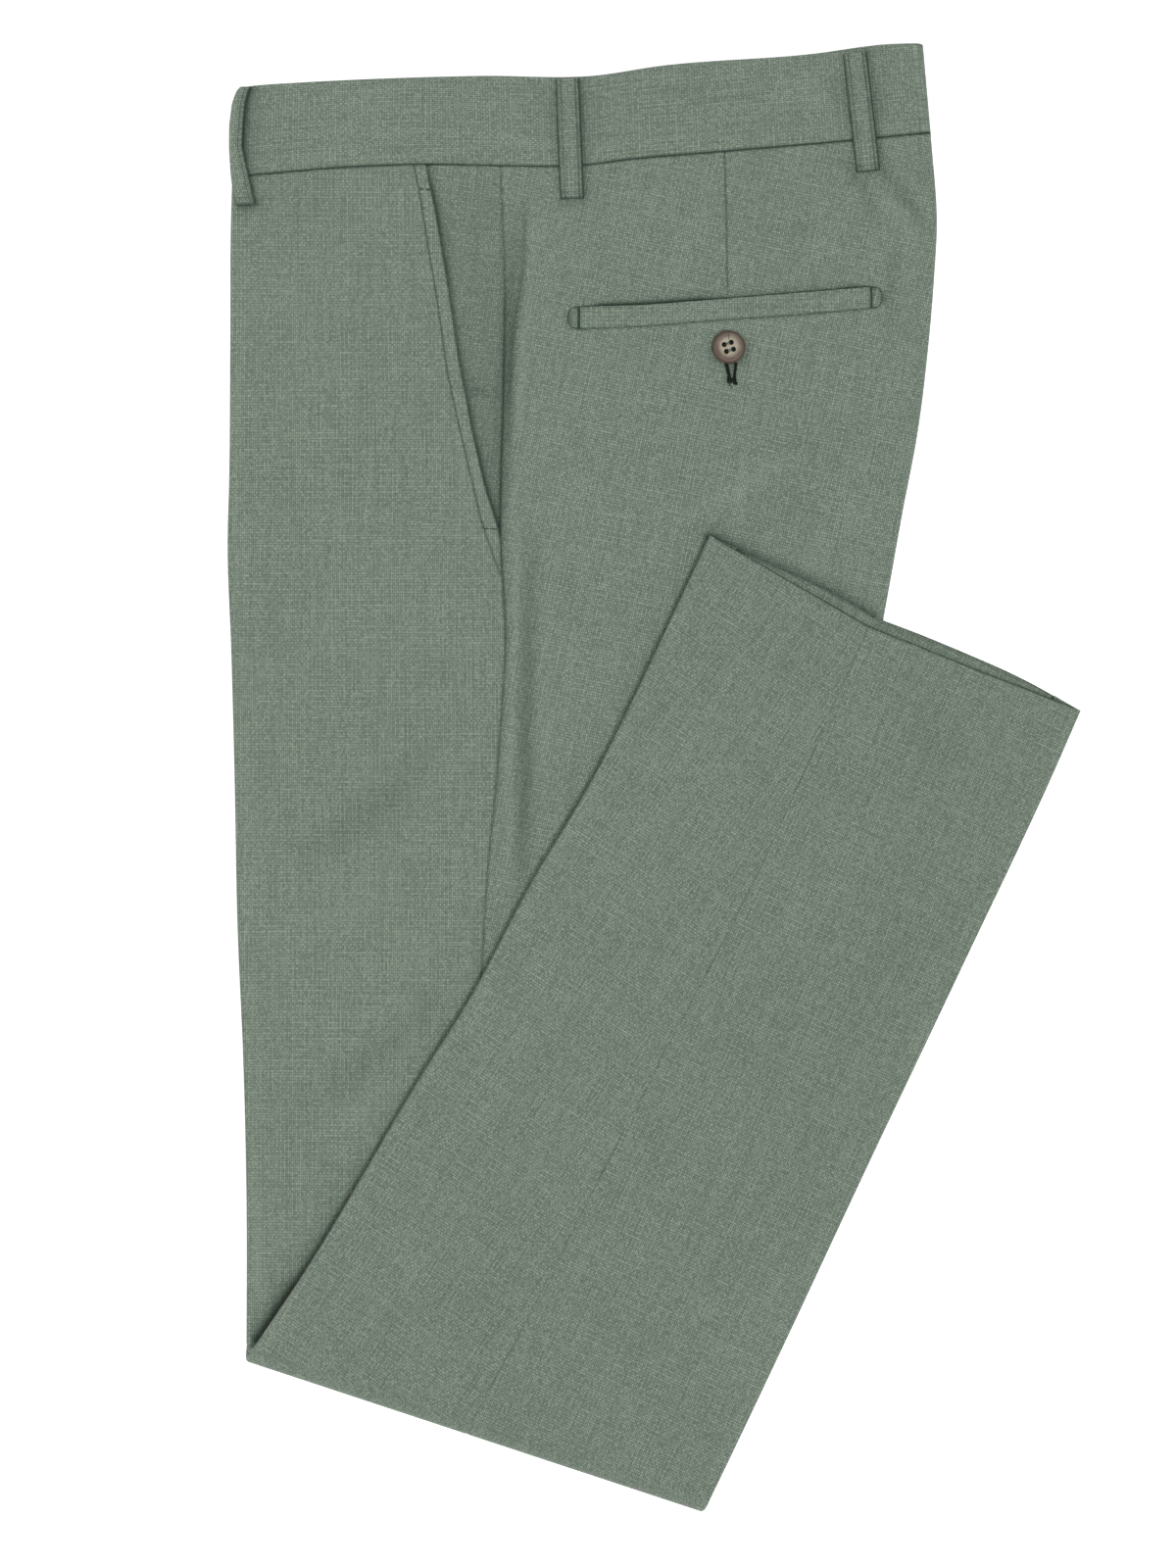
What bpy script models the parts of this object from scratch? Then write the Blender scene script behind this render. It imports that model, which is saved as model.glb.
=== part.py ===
"""Suit trousers that lie flat: folded on the centre line, left side up, then folded at the knee.

The legs are folded up over the front, so the outer side of the right leg shows on top. All sizes below
are millimetres; the objects are made in metres. The frame is the middle of the garment's outline, +Y
towards the waistband and +Z up from the surface that it lies on.
"""

import math
from collections import namedtuple

import bmesh
import bpy
import numpy as np

MM = 0.001

# ---------------------------------------------------------------- sizes

WALL = 1.0  # trouser cloth
BAND_WALL = 1.6  # waistband, cloth and stiffening together
LOOP_WALL = 1.2
GAP = 0.3  # between pieces at a seam, and between layers
RETURN = 12.0  # how far a panel comes back under its pressed crease

STACK = 6.7  # two flattened legs above the knee
KNEE_HALF = 7.7  # half the height of the fold at the knee
KNEE_GAPE = 1.7  # extra room between the arms of the fold, at the knee only
KNEE_GAPE_LENGTH = 70.0
OVERHANG_LENGTH = 50.0  # over which the folded legs sink to the surface beside the thigh

WAIST_LIFT = 1.8  # the right panels are held up by the band and its loops
WAIST_TOP_FRONT = 9.1
WAIST_TOP_BACK = 8.5
WAIST_LIFT_START = 18.0  # below the waist seam
WAIST_LIFT_LENGTH = 45.0
BAND_PROUD = 0.3  # the band stands out from the panels
BAND_STACK = 7.9
BAND_RETURN = 95.0  # from the front crease in to the closed fly

CROTCH_DOWN = 215.0  # along the side seam from the waist
CROTCH_BLEND = 30.0

LOOP_WIDTH = 10.3
LOOP_BOW = 0.8

BUTTON_RADIUS = 7.6
BUTTON_HOLE_RADIUS = 0.85
BUTTON_HOLE_SPREAD = 1.9
BUTTON_SPOT = (34.2, 197.5)

# ---------------------------------------------------------------- outlines

Spot = namedtuple("Spot", "x y")

FRONT_CREASE = [  # above the knee, waist seam downwards
    Spot(-193.7, 275.4), Spot(-194.4, 249.0), Spot(-194.8, 195.0), Spot(-195.2, 141.0),
    Spot(-196.0, 105.0), Spot(-194.4, 60.0), Spot(-192.8, 0.0), Spot(-191.4, -70.0),
    Spot(-188.8, -130.0), Spot(-187.2, -205.0), Spot(-187.3, -259.5),
]
SIDE_SEAM = [
    Spot(-70.6, 280.5), Spot(-68.6, 235.0), Spot(-69.3, 178.0), Spot(-70.4, 105.0),
    Spot(-68.4, 70.0), Spot(-71.1, 16.0), Spot(-77.3, -55.0), Spot(-80.0, -110.0),
    Spot(-85.1, -293.2),
]
SEAT_AND_BACK_CREASE = [
    Spot(127.1, 295.9), Spot(130.0, 252.0), Spot(128.9, 231.0), Spot(125.8, 195.0),
    Spot(121.3, 159.0), Spot(114.5, 123.0), Spot(106.0, 75.8), Spot(80.0, -53.0),
    Spot(51.0, -196.0), Spot(23.9, -329.2),
]
WAIST_SEAM_FRONT = [Spot(-193.7, 275.4), Spot(-133.4, 280.3), Spot(-104.2, 281.2), Spot(-70.6, 280.5)]
WAIST_SEAM_BACK = [
    Spot(-70.6, 280.5), Spot(-34.0, 280.7), Spot(-12.4, 283.4), Spot(32.4, 287.2),
    Spot(88.9, 292.1), Spot(127.1, 295.9),
]
KNEE_LINE_FRONT = [Spot(-187.3, -259.5), Spot(-85.1, -293.2)]
KNEE_LINE_BACK = [Spot(-85.1, -293.2), Spot(23.9, -329.2)]

LOWER_KNEE_FRONT = [Spot(-183.3, -260.8), Spot(-83.5, -293.8)]
LOWER_KNEE_BACK = [Spot(-83.5, -293.8), Spot(25.5, -329.8)]
LOWER_FRONT_CREASE = [  # below the knee, the fold towards the hem
    Spot(-183.3, -260.8), Spot(-161.8, -228.8), Spot(-102.4, -129.5), Spot(-88.0, -107.0),
    Spot(-55.1, -46.0), Spot(-31.3, -6.0), Spot(10.1, 78.0), Spot(25.4, 110.9),
]
LOWER_SIDE_SEAM = [
    Spot(-83.5, -293.8), Spot(-60.1, -251.0), Spot(-49.3, -230.0), Spot(7.0, -121.0),
    Spot(41.6, -55.0), Spot(70.9, 8.0), Spot(97.8, 69.1),
]
LOWER_BACK_CREASE = [
    Spot(25.5, -329.8), Spot(54.2, -270.7), Spot(97.4, -179.8), Spot(140.6, -88.9),
    Spot(183.8, 2.9), Spot(196.0, 30.8),
]
HEM_TOP_FRONT = [Spot(25.4, 110.9), Spot(97.8, 69.1)]
HEM_TOP_BACK = [Spot(97.8, 69.1), Spot(196.0, 30.8)]
UNDER_SIDE_SEAM = LOWER_SIDE_SEAM[:-1] + [Spot(100.4, 73.8)]
HEM_UNDER_FRONT = [Spot(25.4, 110.9), Spot(47.0, 100.6), Spot(82.1, 84.4), Spot(100.4, 73.8)]
HEM_UNDER_BACK = [Spot(100.4, 73.8), Spot(129.8, 62.8), Spot(173.0, 43.9), Spot(196.0, 30.8)]

BAND_TOP_EDGE = [
    Spot(-192.6, 314.3), Spot(-183.4, 317.0), Spot(-140.2, 319.7), Spot(-80.3, 321.9),
    Spot(-26.8, 321.9), Spot(2.0, 326.0), Spot(72.2, 331.6), Spot(108.2, 336.2), Spot(123.5, 336.6),
]

Mouth = namedtuple("Mouth", "down inset")
POCKET_MOUTH = [  # the slant pocket: how far in front of the side seam its edge runs
    Mouth(0, 34.0), Mouth(20, 31.0), Mouth(42, 28.2), Mouth(63, 25.0), Mouth(90, 20.5),
    Mouth(121, 14.0), Mouth(146, 7.6), Mouth(165, 1.3), Mouth(172, 0.0),
]
POCKET_LENGTH = POCKET_MOUTH[-2].down

Loop = namedtuple("Loop", "name top bottom")
FLAT_LOOPS = [
    Loop("side", Spot(-39.8, 321.4), Spot(-37.6, 265.3)),
    Loop("back", Spot(91.8, 333.2), Spot(98.1, 277.9)),
]
Wrap = namedtuple("Wrap", "y edge reach")
FRONT_LOOP = [  # the loop that is bent over the front edge: how far it comes in over the band
    Wrap(313.0, -192.8, 6.4), Wrap(296.0, -193.3, 5.4), Wrap(278.0, -193.8, 6.8), Wrap(264.5, -194.2, 9.0),
]

Welt = namedtuple("Welt", "x lower upper")
POCKET_WELT = [
    Welt(-34.0, 206.1, 216.0), Welt(-4.0, 207.4, 217.0), Welt(33.4, 210.5, 219.8),
    Welt(66.0, 212.6, 222.5), Welt(99.0, 215.6, 225.2),
]

UPPER_ROWS = (0, 20, 42, 63, 105, 146, 165, 172, 215, 230, 245, 330, 430, 520)
LOWER_ROWS = (20, 45, 75, 125, 180, 235, 290, 345, 386)
BEND_STEPS = 6
LEAF_LENGTHS = (14, 5)  # where the hidden layers part, before the hem

# ---------------------------------------------------------------- curves and patches


def through(spots):
    """A smooth curve through the spots, as a function of the share of its length."""
    knots = np.array(spots, float)
    steps = np.hypot(*np.diff(knots, axis=0).T)
    reach = np.concatenate([[0.0], np.cumsum(steps)])
    slopes = np.gradient(knots, reach, axis=0)

    def at(share):
        way = share * reach[-1]
        i = int(np.clip(np.searchsorted(reach, way, side="right") - 1, 0, len(steps) - 1))
        f = (way - reach[i]) / steps[i]
        ends = (1 + 2 * f) * (1 - f) ** 2 * knots[i] + f * f * (3 - 2 * f) * knots[i + 1]
        bends = f * (1 - f) ** 2 * slopes[i] - f * f * (1 - f) * slopes[i + 1]
        return ends + steps[i] * bends

    at.length = reach[-1]
    return at


def smooth(share):
    share = min(max(share, 0.0), 1.0)
    return share * share * (3 - 2 * share)


class Patch:
    """The flat cloth between two guides that run down the leg, a start line and an end line."""

    def __init__(self, near, far, start, end):
        self.near, self.far, self.start, self.end = map(through, (near, far, start, end))

    def at(self, across, along):
        sides = (1 - across) * self.near(along) + across * self.far(along)
        ends = (1 - along) * self.start(across) + along * self.end(across)
        corners = (1 - along) * ((1 - across) * self.start(0) + across * self.start(1))
        corners = corners + along * ((1 - across) * self.end(0) + across * self.end(1))
        return sides + ends - corners

    def width(self, along):
        return float(np.linalg.norm(self.far(along) - self.near(along)))


class Arm:
    """Half of the fold, above or below the knee: each row runs from the front crease to the back."""

    def __init__(self, front, seam, back, start, end):
        self.front_half = Patch(front, seam, start[0], end[0])
        self.back_half = Patch(seam, back, start[1], end[1])
        self.length = through(seam).length

    def widths(self, along):
        return self.front_half.width(along), self.back_half.width(along)

    def spot(self, along, reach):
        front, back = self.widths(along)
        if reach <= front:
            return self.front_half.at(reach / front, along)
        return self.back_half.at((reach - front) / back, along)


UPPER = Arm(
    FRONT_CREASE, SIDE_SEAM, SEAT_AND_BACK_CREASE,
    (WAIST_SEAM_FRONT, WAIST_SEAM_BACK), (KNEE_LINE_FRONT, KNEE_LINE_BACK),
)
LOWER_TOP = Arm(
    LOWER_FRONT_CREASE, LOWER_SIDE_SEAM, LOWER_BACK_CREASE,
    (LOWER_KNEE_FRONT, LOWER_KNEE_BACK), (HEM_TOP_FRONT, HEM_TOP_BACK),
)
LOWER_UNDER = Arm(
    LOWER_FRONT_CREASE, UNDER_SIDE_SEAM, LOWER_BACK_CREASE,
    (LOWER_KNEE_FRONT, LOWER_KNEE_BACK), (HEM_UNDER_FRONT, HEM_UNDER_BACK),
)

# ---------------------------------------------------------------- heights

KNEE_CORNER = np.array(KNEE_LINE_FRONT[0])
KNEE_ALONG = np.array(KNEE_LINE_BACK[1]) - KNEE_CORNER
KNEE_ALONG = KNEE_ALONG / np.linalg.norm(KNEE_ALONG)
KNEE_OUT = np.array([KNEE_ALONG[1], -KNEE_ALONG[0]])

WAIST_LINE = np.array(WAIST_SEAM_FRONT + WAIST_SEAM_BACK[1:])
BACK_LINE = np.array(SEAT_AND_BACK_CREASE[::-1])
FRONT_X, BACK_X = WAIST_LINE[0][0], WAIST_LINE[-1][0]


def waist_top(x):
    share = min(max((x - FRONT_X) / (BACK_X - FRONT_X), 0.0), 1.0)
    return WAIST_TOP_FRONT + (WAIST_TOP_BACK - WAIST_TOP_FRONT) * share


def upper_height(spot, level):
    """Height of a level of the stack above the knee; it is thicker and held up near the waist."""
    below_waist = np.interp(spot[0], WAIST_LINE[:, 0], WAIST_LINE[:, 1]) - spot[1]
    lift = 1 - smooth((below_waist - WAIST_LIFT_START) / WAIST_LIFT_LENGTH)
    bottom = WAIST_LIFT * lift
    top = STACK + (waist_top(spot[0]) - STACK) * lift
    return bottom + (top - bottom) * level / STACK


def lower_height(spot, level):
    """The same below the knee, upside down: it rests on the thighs, and beside them on the surface."""
    from_knee = -float(np.dot(spot - KNEE_CORNER, KNEE_OUT))
    beside = spot[0] - np.interp(spot[1], BACK_LINE[:, 1], BACK_LINE[:, 0]) - WALL
    sink = KNEE_GAPE * smooth(from_knee / KNEE_GAPE_LENGTH)
    sink += (STACK + GAP) * smooth(beside / OVERHANG_LENGTH)
    return 2 * KNEE_HALF - level - sink


# A station is one row of a leg. It places a point that is reach from the front edge, at a level.


class Station:
    def __init__(self, widths, place):
        self.front, self.back = widths
        self.whole = self.front + self.back
        self.place = place
        self.seat = 0.0  # 1 where the back edge is the seat seam
        self.inset = 0.0  # of the pocket mouth, from the side seam


def above_knee(down):
    share = down / UPPER.length

    def place(reach, level):
        spot = UPPER.spot(share, reach)
        return (*spot, upper_height(spot, level))

    station = Station(UPPER.widths(share), place)
    station.seat = 1 - smooth((down - CROTCH_DOWN) / CROTCH_BLEND)
    station.inset = np.interp(down, [m.down for m in POCKET_MOUTH], [m.inset for m in POCKET_MOUTH])
    return station


def round_knee(share):
    angle = math.pi * share
    widths = UPPER.widths(1)

    def place(reach, level):
        before = UPPER.spot(1, reach)
        after = LOWER_TOP.spot(0, reach * sum(LOWER_TOP.widths(0)) / sum(widths))
        spot = before + (after - before) * share + KNEE_OUT * (KNEE_HALF - level) * math.sin(angle)
        return (*spot, KNEE_HALF - (KNEE_HALF - level) * math.cos(angle))

    return Station(widths, place)


def below_knee(along, arm):
    share = along / arm.length

    def place(reach, level):
        spot = arm.spot(share, reach)
        return (*spot, lower_height(spot, level))

    return Station(arm.widths(share), place)


def leg_stations(arm, upper_rows=UPPER_ROWS, lower_rows=LOWER_ROWS):
    knee = [round_knee(step / BEND_STEPS) for step in range(BEND_STEPS + 1)]
    above = [above_knee(down) for down in upper_rows]
    return above + knee + [below_knee(along, arm) for along in (*lower_rows, arm.length)]


# ---------------------------------------------------------------- making objects


def new_collection(name):
    made = bpy.data.collections.new(name)
    bpy.context.scene.collection.children.link(made)
    return made


def new_material(name, colour, roughness):
    made = bpy.data.materials.new(name)
    made.use_nodes = True
    shader = made.node_tree.nodes["Principled BSDF"]
    shader.inputs["Base Color"].default_value = (*colour, 1.0)
    shader.inputs["Roughness"].default_value = roughness
    shader.inputs["Metallic"].default_value = 0.0
    return made


def add_object(name, mesh, material, collection):
    made = bpy.data.objects.new(name, mesh)
    mesh.materials.append(material)
    collection.objects.link(made)
    return made


def add_sheet(name, rows, wall, material, collection):
    """A grid whose points are moved to the rows' places, with a wall made evenly about it."""
    along, across = len(rows), len(rows[0])
    work = bmesh.new()
    bmesh.ops.create_grid(work, x_segments=across - 1, y_segments=along - 1, size=1)
    for vert in work.verts:
        column = round((vert.co.x + 1) / 2 * (across - 1))
        row = round((vert.co.y + 1) / 2 * (along - 1))
        vert.co = [float(value) * MM for value in rows[row][column]]
    mesh = bpy.data.meshes.new(name)
    work.to_mesh(mesh)
    work.free()
    made = add_object(name, mesh, material, collection)
    solid = made.modifiers.new("wall", "SOLIDIFY")
    solid.thickness = wall * MM
    solid.offset = 0
    solid.use_even_offset = True
    return made


# ---------------------------------------------------------------- sections across a leg

CREASE_ANGLES = [math.radians(a) for a in (90, 54, 18, -18, -54, -90)]


def crease_section(wall, stack, *lengths):
    """From a panel's face round its pressed crease and back inside: pairs of inset and depth."""
    radius = ((stack - GAP) / 2 - wall) / 2
    roll = [(wall / 2 + radius * (1 - math.cos(a)), radius * (1 - math.sin(a))) for a in CREASE_ANGLES]
    return roll + [(wall / 2 + radius + length, 2 * radius) for length in lengths]


def seam_section(wall, stack):
    """From a panel's face round to a seam on the fold, just short of half the stack's height."""
    drop = (stack - wall) / 2 - GAP
    count = len(CREASE_ANGLES)
    angles = [math.pi / 2 * step / count for step in range(count + 1)]
    return [(wall / 2 + drop * (1 - math.sin(a)), drop * (1 - math.cos(a))) for a in angles]


PANEL_CREASE = crease_section(WALL, STACK, RETURN)
SHORTEST_RETURN = 0.5
SEAT_SEAM = seam_section(WALL, STACK)
FRONT_STEPS, BACK_STEPS = 3, 7


def level_of(left, depth):
    return STACK - WALL / 2 - depth if left else WALL / 2 + depth


def spread(first, last, steps):
    return [first + (last - first) * step / steps for step in range(1, steps + 1)]


def front_row(station, left):
    row = [station.place(inset, level_of(left, depth)) for inset, depth in PANEL_CREASE[::-1]]
    seam = station.front - station.inset - GAP / 2
    face = level_of(left, 0)
    return row + [station.place(reach, face) for reach in spread(PANEL_CREASE[0][0], seam, FRONT_STEPS)]


def back_edge(seat):
    """From the crease, 0, to the seat seam, 1: the return shortens first, and then the roll opens."""
    length = RETURN * max(1 - 2 * seat, 0)
    crease = np.array(crease_section(WALL, STACK, max(length, SHORTEST_RETURN)))
    return crease + (np.array(SEAT_SEAM) - crease) * max(2 * seat - 1, 0)


def back_row(station, left):
    edge = back_edge(station.seat)
    seam = station.front + GAP / 2
    last = station.whole - edge[0][0]
    face = level_of(left, 0)
    row = [station.place(seam, face)]
    row += [station.place(reach, face) for reach in spread(seam, last, BACK_STEPS)]
    return row + [station.place(station.whole - inset, level_of(left, depth)) for inset, depth in edge[1:]]


def side_piece_row(station, left):
    ends = station.front - station.inset + GAP / 2, station.front - GAP / 2
    return [station.place(reach, level_of(left, 0)) for reach in (ends[0], sum(ends) / 2, ends[1])]


# ---------------------------------------------------------------- the pieces


def make_panels(parts, cloth):
    for side, left, arm in (("left", True, LOWER_UNDER), ("right", False, LOWER_TOP)):
        stations = leg_stations(arm)
        rows = [front_row(station, left) for station in stations]
        add_sheet(f"{side}_front", rows, WALL, cloth, parts)
        rows = [back_row(station, left) for station in stations]
        add_sheet(f"{side}_back", rows, WALL, cloth, parts)
        pocket = [above_knee(down) for down in UPPER_ROWS if down <= POCKET_LENGTH]
        rows = [side_piece_row(station, left) for station in pocket]
        add_sheet(f"{side}_side_piece", rows, WALL, cloth, parts)


HIDDEN_INSET = PANEL_CREASE[-1][0] + 2 * GAP
HIDDEN_THICKNESS = 3.0
LEAF_THICKNESS = 2.3
HIDDEN_TOP_DOWN = 6.0  # the hidden layers stop short of the waist seam
HIDDEN_STEPS = 10


def hidden_row(station, margin):
    first, last = HIDDEN_INSET - margin, station.whole - HIDDEN_INSET + margin
    reaches = [first] + spread(first, last, HIDDEN_STEPS)
    return [station.place(reach, STACK / 2) for reach in reaches]


def make_hidden_layers(parts, cutters, cloth):
    """The inner halves of both legs as one slab round the knee, parted into leaves at both ends."""
    length = LOWER_UNDER.length
    lower_rows = [row for row in LOWER_ROWS if row < length - 2 * LEAF_LENGTHS[0]]
    lower_rows += [length - leaf for leaf in LEAF_LENGTHS]
    upper_rows = [HIDDEN_TOP_DOWN, *UPPER_ROWS[1:]]
    stations = leg_stations(LOWER_UNDER, upper_rows, lower_rows)
    slab = add_sheet(
        "folded_layers", [hidden_row(s, 0) for s in stations], HIDDEN_THICKNESS, cloth, parts
    )
    wall = slab.modifiers["wall"]
    group = slab.vertex_groups.new(name="full_thickness")
    columns = HIDDEN_STEPS + 1
    thin_rows = (0, len(stations) - 2, len(stations) - 1)
    full = [i for i in range(columns * len(stations)) if i // columns not in thin_rows]
    group.add(full, 1.0, "REPLACE")
    wall.vertex_group = group.name
    wall.thickness_vertex_group = LEAF_THICKNESS / HIDDEN_THICKNESS
    rounding = slab.modifiers.new("rounding", "BEVEL")
    rounding.width = 0.8 * MM
    rounding.segments = 2
    rounding.limit_method = "ANGLE"
    rounding.angle_limit = math.radians(60)

    hem = [below_knee(length + extra, LOWER_UNDER) for extra in (-LEAF_LENGTHS[0], -5, 10)]
    waist = [above_knee(down) for down in (-5, 10, 20)]
    for name, ends in (("hem_slit", hem), ("waist_slit", waist)):
        cutter = add_sheet(name, [hidden_row(s, 4) for s in ends], GAP, cloth, cutters)
        cutter.hide_render = True
        cutter.display_type = "WIRE"
        cut = slab.modifiers.new(name, "BOOLEAN")
        cut.operation = "DIFFERENCE"
        cut.object = cutter


def face_reaches(station):
    """Where the columns of the outer face stand, from the front crease to the seat."""
    first, mouth = PANEL_CREASE[0][0], station.front - station.inset
    last = station.whole - SEAT_SEAM[0][0]
    front = [first] + spread(first, mouth, FRONT_STEPS) + spread(mouth, station.front, 2)
    return front + spread(station.front, last, BACK_STEPS)


def band_level(x, level):
    """Height of a level of the two waistband halves."""
    top = waist_top(x) + BAND_PROUD
    bottom = WAIST_LIFT - BAND_PROUD
    return bottom + (top - bottom) * level / BAND_STACK


def make_waistband(parts, cloth):
    crease = crease_section(BAND_WALL, BAND_STACK, RETURN, (RETURN + BAND_RETURN) / 2, BAND_RETURN)
    seam = seam_section(BAND_WALL, BAND_STACK)
    waist = above_knee(0)
    top_edge = through(BAND_TOP_EDGE)
    section = crease[::-1] + [(reach, 0) for reach in face_reaches(waist)[1:-1]]
    section += [(waist.whole - inset, depth) for inset, depth in seam]
    for side in ("left", "right"):
        rows = []
        for along in (0.0, 1.0):
            row = []
            for reach, depth in section:
                lower = UPPER.spot(0, reach) + (0, GAP)
                spot = lower + (top_edge(reach / waist.whole) - lower) * along
                level = BAND_WALL / 2 + depth
                row.append((*spot, band_level(spot[0], BAND_STACK - level if side == "left" else level)))
            rows.append(row)
        add_sheet(f"waistband_{side}", rows, BAND_WALL, cloth, parts)


def face_height(x, y, side):
    """The outer face of the band, or of the panel below it."""
    on_band = y > np.interp(x, WAIST_LINE[:, 0], WAIST_LINE[:, 1])
    if side == "left":
        return waist_top(x) + (BAND_PROUD if on_band else 0)
    return WAIST_LIFT - (BAND_PROUD if on_band else 0)


LOOP_ROWS = 6


def make_flat_loops(parts, cloth):
    lift = GAP + LOOP_WALL / 2
    for side, out in (("left", 1), ("right", -1)):
        for loop in FLAT_LOOPS:
            rows = []
            for step in range(LOOP_ROWS + 1):
                share = step / LOOP_ROWS
                x = loop.top.x + (loop.bottom.x - loop.top.x) * share
                y = loop.top.y + (loop.bottom.y - loop.top.y) * share
                height = face_height(x, loop.top.y, side) + out * lift
                if side == "left":
                    height += LOOP_BOW * math.sin(math.pi * share)
                rows.append([(x + LOOP_WIDTH * (f - 0.5), y, height) for f in (0, 0.5, 1)])
            add_sheet(f"belt_loop_{side}_{loop.name}", rows, LOOP_WALL, cloth, parts)


def make_front_loops(parts, cloth):
    """The two loops at the front crease, each bent over the edge of its own half of the band."""
    tube = (BAND_STACK - GAP) / 2
    radius = tube / 2 + GAP + LOOP_WALL / 2
    hang = tube / 2 - GAP / 2  # straight down beside the band, as far as the other loop
    table = np.array(FRONT_LOOP)[::-1]
    for side, out in (("left", 1), ("right", -1)):
        rows = []
        for y in np.linspace(table[-1][0], table[0][0], LOOP_ROWS + 1):
            edge, reach = (np.interp(y, table[:, 0], table[:, c]) for c in (1, 2))
            flat = reach - tube / 2
            bent = radius * math.pi / 2
            width = min(LOOP_WIDTH, flat + bent + hang)
            centre = face_height(edge, table[-1][0], side) - out * tube / 2
            row = []
            for step in range(LOOP_ROWS + 1):
                way = width * step / LOOP_ROWS
                turn = min(max(way - flat, 0) / radius, math.pi / 2)
                inward = reach - way if way < flat else tube / 2 - radius * math.sin(turn)
                rise = radius * math.cos(turn) - max(way - flat - bent, 0)
                row.append((edge + inward, y, centre + out * rise))
            rows.append(row)
        add_sheet(f"belt_loop_{side}_front", rows, LOOP_WALL, cloth, parts)


def make_welt(parts, cloth):
    """The welt lies on the back panel, so its height is the panel's, moved out."""
    rows = []
    for share in (0.0, 0.5, 1.0):
        row = []
        for welt in POCKET_WELT:
            spot = np.array([welt.x, welt.lower + (welt.upper - welt.lower) * share])
            row.append((*spot, upper_height(spot, STACK) + GAP + WALL / 2))
        rows.append(row)
    add_sheet("back_pocket_welt", rows, WALL, cloth, parts)


Turn = namedtuple("Turn", "radius height")
BUTTON_PROFILE = [  # from the middle of the dish, over the rim and round to the base
    Turn(0.0, 2.0), Turn(4.2, 2.1), Turn(5.0, 2.6), Turn(5.8, 2.9), Turn(6.6, 2.8), Turn(7.3, 2.2),
    Turn(BUTTON_RADIUS, 1.5), Turn(7.2, 0.8), Turn(6.0, 0.2), Turn(5.0, 0.0), Turn(0.0, 0.0),
]


def make_button(parts, cutters, horn):
    base = upper_height(np.array(BUTTON_SPOT), STACK) + GAP
    mesh = bpy.data.meshes.new("back_pocket_button")
    points = [(turn.radius * MM, 0, turn.height * MM) for turn in BUTTON_PROFILE]
    mesh.from_pydata(points, [(i, i + 1) for i in range(len(points) - 1)], [])
    button = add_object("back_pocket_button", mesh, horn, parts)
    button.location = [value * MM for value in (*BUTTON_SPOT, base)]
    turn = button.modifiers.new("turn", "SCREW")
    turn.steps = turn.render_steps = 24
    turn.use_merge_vertices = True
    turn.merge_threshold = 0.00001
    for step in range(4):
        angle = math.radians(45 + 90 * step)
        work = bmesh.new()
        bmesh.ops.create_cone(
            work, cap_ends=True, segments=8, depth=8 * MM,
            radius1=BUTTON_HOLE_RADIUS * MM, radius2=BUTTON_HOLE_RADIUS * MM,
        )
        hole = bpy.data.meshes.new(f"button_hole_{step}")
        work.to_mesh(hole)
        work.free()
        cutter = add_object(hole.name, hole, horn, cutters)
        reach = BUTTON_HOLE_SPREAD * math.sqrt(2)
        spot = (BUTTON_SPOT[0] + reach * math.cos(angle), BUTTON_SPOT[1] + reach * math.sin(angle), base)
        cutter.location = [value * MM for value in spot]
        cutter.hide_render = True
        cutter.display_type = "WIRE"
        cut = button.modifiers.new(hole.name, "BOOLEAN")
        cut.operation = "DIFFERENCE"
        cut.object = cutter


def main():
    for old in list(bpy.data.objects):
        bpy.data.objects.remove(old)
    parts = new_collection("suit_trousers")
    cutters = new_collection("cutters")
    cloth = new_material("green_melange_suiting", (0.185, 0.228, 0.183), 0.9)
    band = new_material("waistband_suiting", (0.19, 0.233, 0.188), 0.9)
    horn = new_material("brown_button", (0.16, 0.11, 0.095), 0.4)
    make_panels(parts, cloth)
    make_hidden_layers(parts, cutters, cloth)
    make_waistband(parts, band)
    make_flat_loops(parts, band)
    make_front_loops(parts, band)
    make_welt(parts, band)
    make_button(parts, cutters, horn)


main()
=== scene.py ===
"""Looks of suit trousers that lie flat: folded on the centre line, left side up, then folded at the knee.

The tables of outlines and the first functions repeat the part's own, in millimetres, so each cloth lies on
its solid's form. Cloth is a thin shell whose creases are listed in tables. Its UV map is its place on the
cloth laid out flat, in metres, and the weave is worked out from that.
"""

import math
from collections import namedtuple

import bmesh
import bpy
import numpy as np
from mathutils import Matrix, Vector


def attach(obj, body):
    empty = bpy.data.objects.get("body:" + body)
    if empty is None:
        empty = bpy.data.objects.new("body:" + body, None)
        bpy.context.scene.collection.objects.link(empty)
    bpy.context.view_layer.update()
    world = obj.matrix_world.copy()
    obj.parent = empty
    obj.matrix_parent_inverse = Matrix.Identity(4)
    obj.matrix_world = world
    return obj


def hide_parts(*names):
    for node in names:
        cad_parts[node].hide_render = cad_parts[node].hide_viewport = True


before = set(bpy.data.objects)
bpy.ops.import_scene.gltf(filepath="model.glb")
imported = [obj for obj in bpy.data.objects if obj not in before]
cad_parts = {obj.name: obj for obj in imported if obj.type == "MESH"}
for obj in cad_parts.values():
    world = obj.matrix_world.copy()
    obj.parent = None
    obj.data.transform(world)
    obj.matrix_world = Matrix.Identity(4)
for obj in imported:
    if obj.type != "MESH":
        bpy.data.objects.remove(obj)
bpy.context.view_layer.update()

MM = 0.001

# ---------------------------------------------------------------- camera and light

VIEW_CENTRE = (-30.4, -2.9)
VIEW_LENGTH = 720.0  # what the frame's long side shows at the cloth
CLOTH_HEIGHT = 6.0
LENS, SENSOR = 85.0, 36.0


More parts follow.
